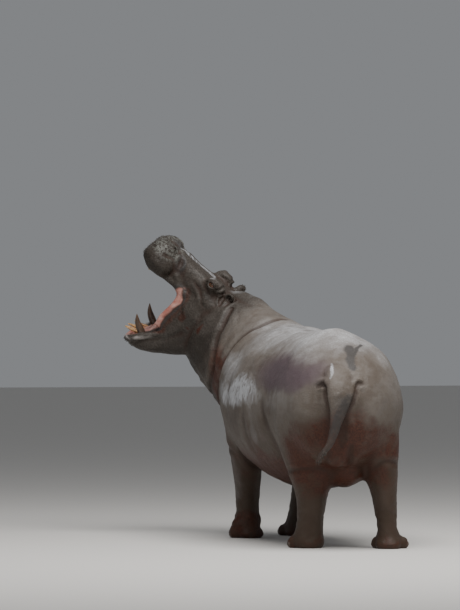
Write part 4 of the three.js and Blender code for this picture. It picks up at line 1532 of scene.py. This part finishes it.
def sweep(name, place, stops, sizes, material, up=(0, 0, 1), rings=30, around=28, shape=None):
    """A closed solid along a curve. sizes are (half-width, half-height) at even steps, and
    shape(angle, share) scales each ring's radius."""
    line = world(curve(stops, rings), place)
    ahead = np.gradient(line, axis=0)
    ahead /= np.linalg.norm(ahead, axis=1, keepdims=True)
    across = np.cross(np.array(place.to_3x3() @ Vector(up)), ahead)
    across /= np.linalg.norm(across, axis=1, keepdims=True)
    above = np.cross(ahead, across)
    shares = np.linspace(0, 1, rings)
    wide, tall = (spread([size[k] for size in sizes], rings) for k in (0, 1))
    angles = np.linspace(0, 2 * np.pi, around, endpoint=False)
    scale = np.ones((rings, around)) if shape is None else shape(angles[None], shares[:, None])
    x = scale * np.cos(angles) * wide[:, None]
    z = scale * np.sin(angles) * tall[:, None]
    points = line[:, None] + x[..., None] * across[:, None] + z[..., None] * above[:, None]
    points = np.concatenate([points.reshape(-1, 3), line[:1], line[-1:]])
    ring = np.arange(around)
    rows = np.arange(rings - 1)[:, None] * around
    after = (ring + 1) % around
    above_row = rows + around
    sides = np.stack([rows + ring, rows + after, above_row + after, above_row + ring], -1)
    sides = sides.reshape(-1, 4)
    start, end, last = rings * around, rings * around + 1, (rings - 1) * around
    caps = [(start, int((k + 1) % around), int(k)) for k in ring]
    caps += [(end, int(last + k), int(last + (k + 1) % around)) for k in ring]
    mesh = bpy.data.meshes.new(name)
    mesh.from_pydata(points.tolist(), [], sides.tolist() + caps)
    made = bmesh.new()
    made.from_mesh(mesh)
    bmesh.ops.recalc_face_normals(made, faces=made.faces)
    made.to_mesh(mesh)
    made.free()
    keep_share(mesh, "along", np.concatenate([np.repeat(shares, around), [0, 1]]))
    return shown(name, mesh, material)


def stands_for(piece, slot, *replaced):
    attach(piece, "root")
    if replaced:
        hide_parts(*replaced)


TIP_RINGS, TIP_LEAST = 14, 0.0004


def rounded_tip(radius, taper=0.7, sharp=2.2):
    """Sizes that narrow evenly and then close in a rounded tip."""
    share = np.linspace(0, 1, TIP_RINGS)
    fat = radius * (1 - (1 - taper) * share) * (1 - share**sharp**2).clip(TIP_LEAST) ** 0.5
    return [(r, r) for r in fat]


def fluted(angle, share):
    """The long, shallow grooves of a tusk."""
    return 1 + 0.035 * np.cos(5 * angle) + 0.05 * np.cos(2 * angle)


# The left canines, in the jaw's frame and the head's.
LOWER_CANINE = [
    (0.132, -0.535, -0.05), (0.143, -0.54, 0.02), (0.147, -0.538, 0.075), (0.152, -0.52, 0.134),
]
LOWER_CANINE_SIZES = [
    (0.027, 0.028), (0.027, 0.027), (0.025, 0.026), (0.021, 0.022), (0.014, 0.014), (0.002, 0.002),
]
UPPER_CANINE = [(0.134, -0.398, -0.14), (0.141, -0.406, -0.19), (0.145, -0.402, -0.226)]


def add_canines(side_name, side):
    upper_sizes = rounded_tip(0.022, taper=0.75, sharp=1.6)
    for name, place, stops, sizes, material in (
        (f"canine_lower_{side_name}", JAW, LOWER_CANINE, LOWER_CANINE_SIZES, TUSK),
        (f"canine_upper_{side_name}", HEAD, UPPER_CANINE, upper_sizes, ENAMEL),
    ):
        stops = mirrored_all(stops, side)
        piece = sweep(name, place, stops, sizes, material, (0, 1, 0), shape=fluted)
        stands_for(piece, "ivory", name)


# Each incisor's frame, sideways place, radius, root and tip as (back, up), and its upright.
INCISORS = {
    "lower_inner": (JAW, 0.034, 0.0145, (-0.56, -0.028), (-0.686, 0.062), (0, 0, 1), ORANGE_ENAMEL),
    "lower_outer": (JAW, 0.092, 0.0115, (-0.565, -0.02), (-0.654, 0.058), (0, 0, 1), ORANGE_ENAMEL),
    "upper_inner": (HEAD, 0.03, 0.0145, (-0.448, -0.14), (-0.457, -0.222), (0, 1, 0), ENAMEL),
    "upper_outer": (HEAD, 0.082, 0.0125, (-0.44, -0.14), (-0.447, -0.218), (0, 1, 0), ENAMEL),
}
ROOT_SPLAY = 0.92


def add_incisors(side_name, side):
    for kind, (place, lateral, radius, root, tip, up, material) in INCISORS.items():
        ends = np.array([(lateral * side * ROOT_SPLAY, *root), (lateral * side, *tip)])
        middle_point = ends.mean(0) + (0, 0, -0.003 if place is JAW else 0)
        stops = [ends[0], middle_point, ends[1]]
        name = f"incisor_{kind}_{side_name}"
        piece = sweep(name, place, stops, rounded_tip(radius), material, up, rings=22, around=20)
        stands_for(piece, "ivory", name)


# Each row's frame, sideways place, places along the jaw, height, and which way it stands.
MOLAR_ROWS = {
    "lower": (JAW, 0.08, np.linspace(-0.11, -0.39, 5), 0.012, 1),
    "upper": (HEAD, 0.076, np.linspace(-0.01, -0.27, 5), -0.184, -1),
}
MOLAR_ENDS = (-0.02, 0.017)  # root and crown, from the row's height
MOLAR_SIZES = [(0.015, 0.024), (0.016, 0.025), (0.015, 0.024), (0.011, 0.019), (0.004, 0.008)]


def add_molars():
    """Rows of low, four-cusped crowns."""

    def crown(angle, share):
        return 1 + 0.1 * np.cos(4 * angle)

    for row, (place, lateral, steps, height, up) in MOLAR_ROWS.items():
        for side_name, side in SIDES.items():
            for k, y in enumerate(steps, 1):
                ends = (height + step * up for step in MOLAR_ENDS)
                stops = [(lateral * side, y, end) for end in ends]
                name = f"molar_{row}_{side_name}_{k}"
                piece = sweep(name, place, stops, MOLAR_SIZES, ENAMEL, (0, 1, 0), 12, 24, crown)
                stands_for(piece, "ivory")


TONGUE = [(0, -0.05, -0.016), (0, -0.2, 0.0), (0, -0.34, 0.008), (0, -0.47, 0.0)]
TONGUE_SIZES = [
    (0.046, 0.026), (0.06, 0.034), (0.059, 0.034), (0.058, 0.03), (0.054, 0.024), (0.04, 0.018),
    (0.004, 0.003),
]


def add_tongue():
    """A long, flat tongue with a groove down its middle."""

    def grooved(angle, share):
        dent = np.exp(-(((angle - np.pi / 2) / 0.35) ** 2))
        wave = 0.03 * np.sin(9 * share * np.pi + 2 * np.cos(angle))
        return 1 - 0.16 * dent * np.sin(np.pi * share) + wave * np.sin(np.pi * share)

    material = flesh_material()
    piece = sweep("tongue", JAW, TONGUE, TONGUE_SIZES, material, (0, 0, 1), 60, 56, grooved)
    stands_for(piece, "flesh", "tongue")


NAIL_SIZE = (0.026, 0.017, 0.025)
NAIL_ON_TOE = placed((0, -0.118, 0.027), lift=-14)
NAIL_TOP = (1, 1, 0.86)  # the upper half is a little flatter
NAIL_LOWEST = 0.001


def globe(name, place, radii, segments, rings, material):
    """A smooth ellipsoid, and its points in its own frame."""
    made = bmesh.new()
    bmesh.ops.create_uvsphere(made, u_segments=segments, v_segments=rings, radius=1)
    for vertex in made.verts:
        vertex.co = [c * r for c, r in zip(vertex.co, radii)]
    own = np.array([vertex.co for vertex in made.verts])
    for vertex in made.verts:
        vertex.co = place @ vertex.co
    mesh = bpy.data.meshes.new(name)
    made.to_mesh(mesh)
    made.free()
    return shown(name, mesh, material), own


def add_nails(material):
    for foot_name, (at, turn) in FEET.items():
        for k, angle in enumerate(TOE_ANGLES, 1):
            name = f"nail_{foot_name}_{k}"
            nail = placed((*at, 0), turn=turn) @ placed(turn=angle) @ NAIL_ON_TOE
            piece, own = globe(name, nail, NAIL_SIZE, 24, 16, material)
            for vertex, point in zip(piece.data.vertices, own):
                if point[2] > 0:
                    vertex.co = nail @ Vector(point * NAIL_TOP)
                vertex.co.z = max(vertex.co.z, NAIL_LOWEST)
            stands_for(piece, "nail", name)


IRIS_REACH = 0.03  # how far out an iris share of 1 lies
PUPIL = (0.006, 0.0034)  # half its width and height


def add_eyes(material):
    for side_name, side in SIDES.items():
        name = f"eye_{side_name}"
        piece, own = globe(name, eye_frame(side), (EYE_RADIUS,) * 3, 64, 48, material)
        behind = own[:, 1] > 0
        off_axis = np.hypot(own[:, 0], own[:, 2]) + IRIS_REACH * behind
        keep_share(piece.data, "iris", off_axis / IRIS_REACH)
        slit = np.hypot(own[:, 0] / PUPIL[0], own[:, 2] / PUPIL[1]) + FAR * behind
        keep_share(piece.data, "pupil", slit)
        stands_for(piece, "eye", name)


for side_name, side in SIDES.items():
    add_canines(side_name, side)
    add_incisors(side_name, side)
add_molars()
add_tongue()
add_nails(nail_material())
add_eyes(eye_material())

# ---- Bristles -------------------------------------------------------------------------------

# Each region: the frame, centre and radii of the ball that holds its roots; how many tufts and
# how many bristles in each; length and thickness; and which way they lean, in that frame.
BRISTLE_REGIONS = {
    "muzzle": (HEAD, (0, -0.44, -0.08), (0.23, 0.12, 0.14), 380, 3, 0.011, 0.0006, (0, -0.3, -0.5)),
    "lower_lip": (
        JAW, (0, -0.62, -0.04), (0.22, 0.16, 0.05), 200, 3, 0.01, 0.0006, (0, -0.4, -0.3),
    ),
    "left_ear": (HEAD, (0.16, 0.17, 0.05), (0.06, 0.05, 0.04), 110, 3, 0.009, 0.0004, (0, 0, 0.6)),
    "right_ear": (
        HEAD, (-0.16, 0.17, 0.05), (0.06, 0.05, 0.04), 110, 3, 0.009, 0.0004, (0, 0, 0.6),
    ),
    "tail": (WORLD, (0.09, 1.496, 0.615), (0.06, 0.05, 0.06), 70, 3, 0.02, 0.0009, (0.1, 0, -1.4)),
}
BRISTLE_RINGS = ((0.0, 1.0), (0.4, 0.8), (0.75, 0.45))  # how far along, and how thick there
BRISTLE_CORNERS = 3
ROOT_DEPTH, TUFT_SPREAD = 0.001, 0.0016
WAY_SPREAD, LEAN_SHARE, DROOP = 0.22, 0.4, 0.35  # in the length of a bristle
LENGTHS = (0.55, 1.15)  # shortest and longest, in the region's own length
BARE = 0.1  # no bristle grows where the skin is pinker than this
TUFT_PATCH = 0.003  # how wide each tuft is on the unwrap


UNROLLED = (2.1 * np.pi, 3.3)  # the angles round and up that fill the unwrap


def unwrapped(own):
    """Where points about a region's centre lie when its surface is unrolled."""
    turn = np.arctan2(own[:, 0], -own[:, 1])
    up = np.arctan2(own[:, 2], np.hypot(own[:, 0], own[:, 1]))
    return 0.5 + np.stack([turn, up], -1) / UNROLLED


def roots(place, centre, radii, count, draw):
    """Root points and outward directions, spread evenly over the skin inside a ball."""
    faces = skin.data.polygons
    middles, normals = np.empty((2, len(faces), 3), np.float32)
    areas, corner = np.empty(len(faces), np.float32), np.empty(len(faces), np.int32)
    faces.foreach_get("center", middles.ravel())
    faces.foreach_get("normal", normals.ravel())
    faces.foreach_get("area", areas)
    faces.foreach_get("loop_start", corner)
    vertices = np.empty(len(skin.data.loops), np.int32)
    skin.data.loops.foreach_get("vertex_index", vertices)
    pink = np.empty(len(skin.data.vertices), np.float32)
    skin.data.attributes["pink"].data.foreach_get("value", pink)
    open_skin = (ball(local(middles, place), centre, radii) < 0) & (pink[vertices[corner]] < BARE)
    chances = areas * open_skin
    chosen = draw.choice(len(faces), count, p=chances / chances.sum())
    return middles[chosen], normals[chosen]


def add_bristles(name, seed):
    """One mesh of curved, pointed bristles in tufts, with a patch of the UV map for each tuft."""
    place, centre, radii, tufts, each, length, thickness, lean = BRISTLE_REGIONS[name]
    draw = np.random.default_rng(seed)
    at, outward = roots(place, centre, radii, tufts, draw)
    count = tufts * each
    at_patch = unwrapped(local(at, place) - np.array(centre))
    at, outward = np.repeat(at, each, 0), np.repeat(outward, each, 0)
    at = at + TUFT_SPREAD * draw.normal(size=(count, 3)) - ROOT_DEPTH * outward
    lean = np.array(place.to_3x3()) @ np.array(lean)
    way = outward + WAY_SPREAD * draw.normal(size=(count, 3)) + LEAN_SHARE * lean
    way /= np.linalg.norm(way, axis=1)[:, None]
    aside = np.cross(way, (0.3, 0.5, 0.8))
    aside /= np.linalg.norm(aside, axis=1)[:, None]
    square = np.cross(way, aside)
    long = (length * draw.uniform(*LENGTHS, count))[:, None]

    parts, patch_at = [], []
    for share, thick in BRISTLE_RINGS:
        middle = at + long * (share * way + DROOP * share**2 * lean)
        for k in range(BRISTLE_CORNERS):
            turn = 2 * math.pi * k / BRISTLE_CORNERS
            around = math.cos(turn) * aside + math.sin(turn) * square
            parts.append(middle + thickness * thick * around)
            patch_at.append((k / BRISTLE_CORNERS - 0.5, share - 0.5))
    parts.append(at + long * (way + DROOP * lean))
    patch_at.append((0, 0.5))
    points = np.stack(parts, 1)
    shape = []
    tip, last = len(parts) - 1, (len(BRISTLE_RINGS) - 1) * BRISTLE_CORNERS
    for k in range(BRISTLE_CORNERS):
        after = (k + 1) % BRISTLE_CORNERS
        for ring in range(0, last, BRISTLE_CORNERS):
            shape.append((ring + k, ring + after, ring + after + BRISTLE_CORNERS))
            shape.append((ring + k, ring + after + BRISTLE_CORNERS, ring + k + BRISTLE_CORNERS))
        shape.append((last + k, last + after, tip))
    faces = (np.array(shape)[None] + np.arange(count)[:, None, None] * len(parts)).reshape(-1, 3)

    name = f"bristles_{name}"
    piece = shown(name, mesh_of(name, points.reshape(-1, 3), faces), BRISTLE)
    patches = np.repeat(at_patch, each, 0)[:, None] + TUFT_PATCH * np.array(patch_at)[None]
    layer = piece.data.uv_layers.new(name="OFBake")
    layer.data.foreach_set("uv", patches.reshape(-1, 2)[faces.ravel()].astype(np.float32).ravel())
    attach(piece, "root")


BRISTLE = bristle_material()
for number, name in enumerate(BRISTLE_REGIONS):
    add_bristles(name, 200 + number)

# ---- Floor, light and camera ----------------------------------------------------------------

FLOOR_HALF = (40, 60)
FLOOR_COLOUR, FLOOR_ROUGHNESS = (0.62, 0.6, 0.57, 1), 0.9


def add_floor():
    x, y = FLOOR_HALF
    mesh = bpy.data.meshes.new("floor")
    mesh.from_pydata([(-x, -y, 0), (x, -y, 0), (x, y, 0), (-x, y, 0)], [], [(0, 1, 2, 3)])
    floor = bpy.data.objects.new("floor", mesh)
    bpy.context.scene.collection.objects.link(floor)
    material = bpy.data.materials.new("floor")
    material.use_nodes = True
    shader = material.node_tree.nodes["Principled BSDF"]
    shader.inputs["Base Color"].default_value = FLOOR_COLOUR
    shader.inputs["Roughness"].default_value = FLOOR_ROUGHNESS
    mesh.materials.append(material)
    floor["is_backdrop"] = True


def add_light(name, at, target, size, power, colour):
    lamp = bpy.data.lights.new(name, "AREA")
    lamp.shape = "RECTANGLE"
    lamp.size, lamp.size_y = size
    lamp.energy = power
    lamp.color = colour
    holder = bpy.data.objects.new(name, lamp)
    holder.location = at
    holder.rotation_euler = (Vector(target) - Vector(at)).to_track_quat("-Z", "Y").to_euler()
    bpy.context.scene.collection.objects.link(holder)


CAMERA_AT = Vector((8.0, 30.8, 1.6))
CAMERA_TURN = 14  # degrees from straight behind the trunk, towards the animal's left
FRAME_HEIGHT = 36  # the sensor, mm
LENS, CLIP_END = 274.4, 200
SHIFT = 0.0033


def add_camera():
    data = bpy.data.cameras.new("camera")
    data.sensor_fit = "VERTICAL"
    data.sensor_height = FRAME_HEIGHT
    data.lens = LENS
    data.shift_y = SHIFT
    data.clip_end = CLIP_END
    camera = bpy.data.objects.new("camera", data)
    camera.location = CAMERA_AT
    camera.rotation_euler = (math.radians(90), 0, math.radians(180 - CAMERA_TURN))
    bpy.context.scene.collection.objects.link(camera)
    bpy.context.scene.camera = camera


SKY_COLOUR, SKY_STRENGTH = (0.88, 0.91, 0.95, 1), 0.26


def add_world():
    sky = bpy.data.worlds.new("sky")
    sky.use_nodes = True
    background = sky.node_tree.nodes["Background"]
    background.inputs["Color"].default_value = SKY_COLOUR
    background.inputs["Strength"].default_value = SKY_STRENGTH
    bpy.context.scene.world = sky


add_floor()
add_world()
add_light("sky_panel", (-0.2, 3.5, 7), (0, 0, 1), (6, 6), 900, (1, 0.99, 0.98))
add_light("side_fill", (7, 9, 4), (0, 0, 1), (5, 4), 60, (0.95, 0.97, 1))
add_camera()

[[list(corner) for corner in box] for box in (cad_box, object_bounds())]
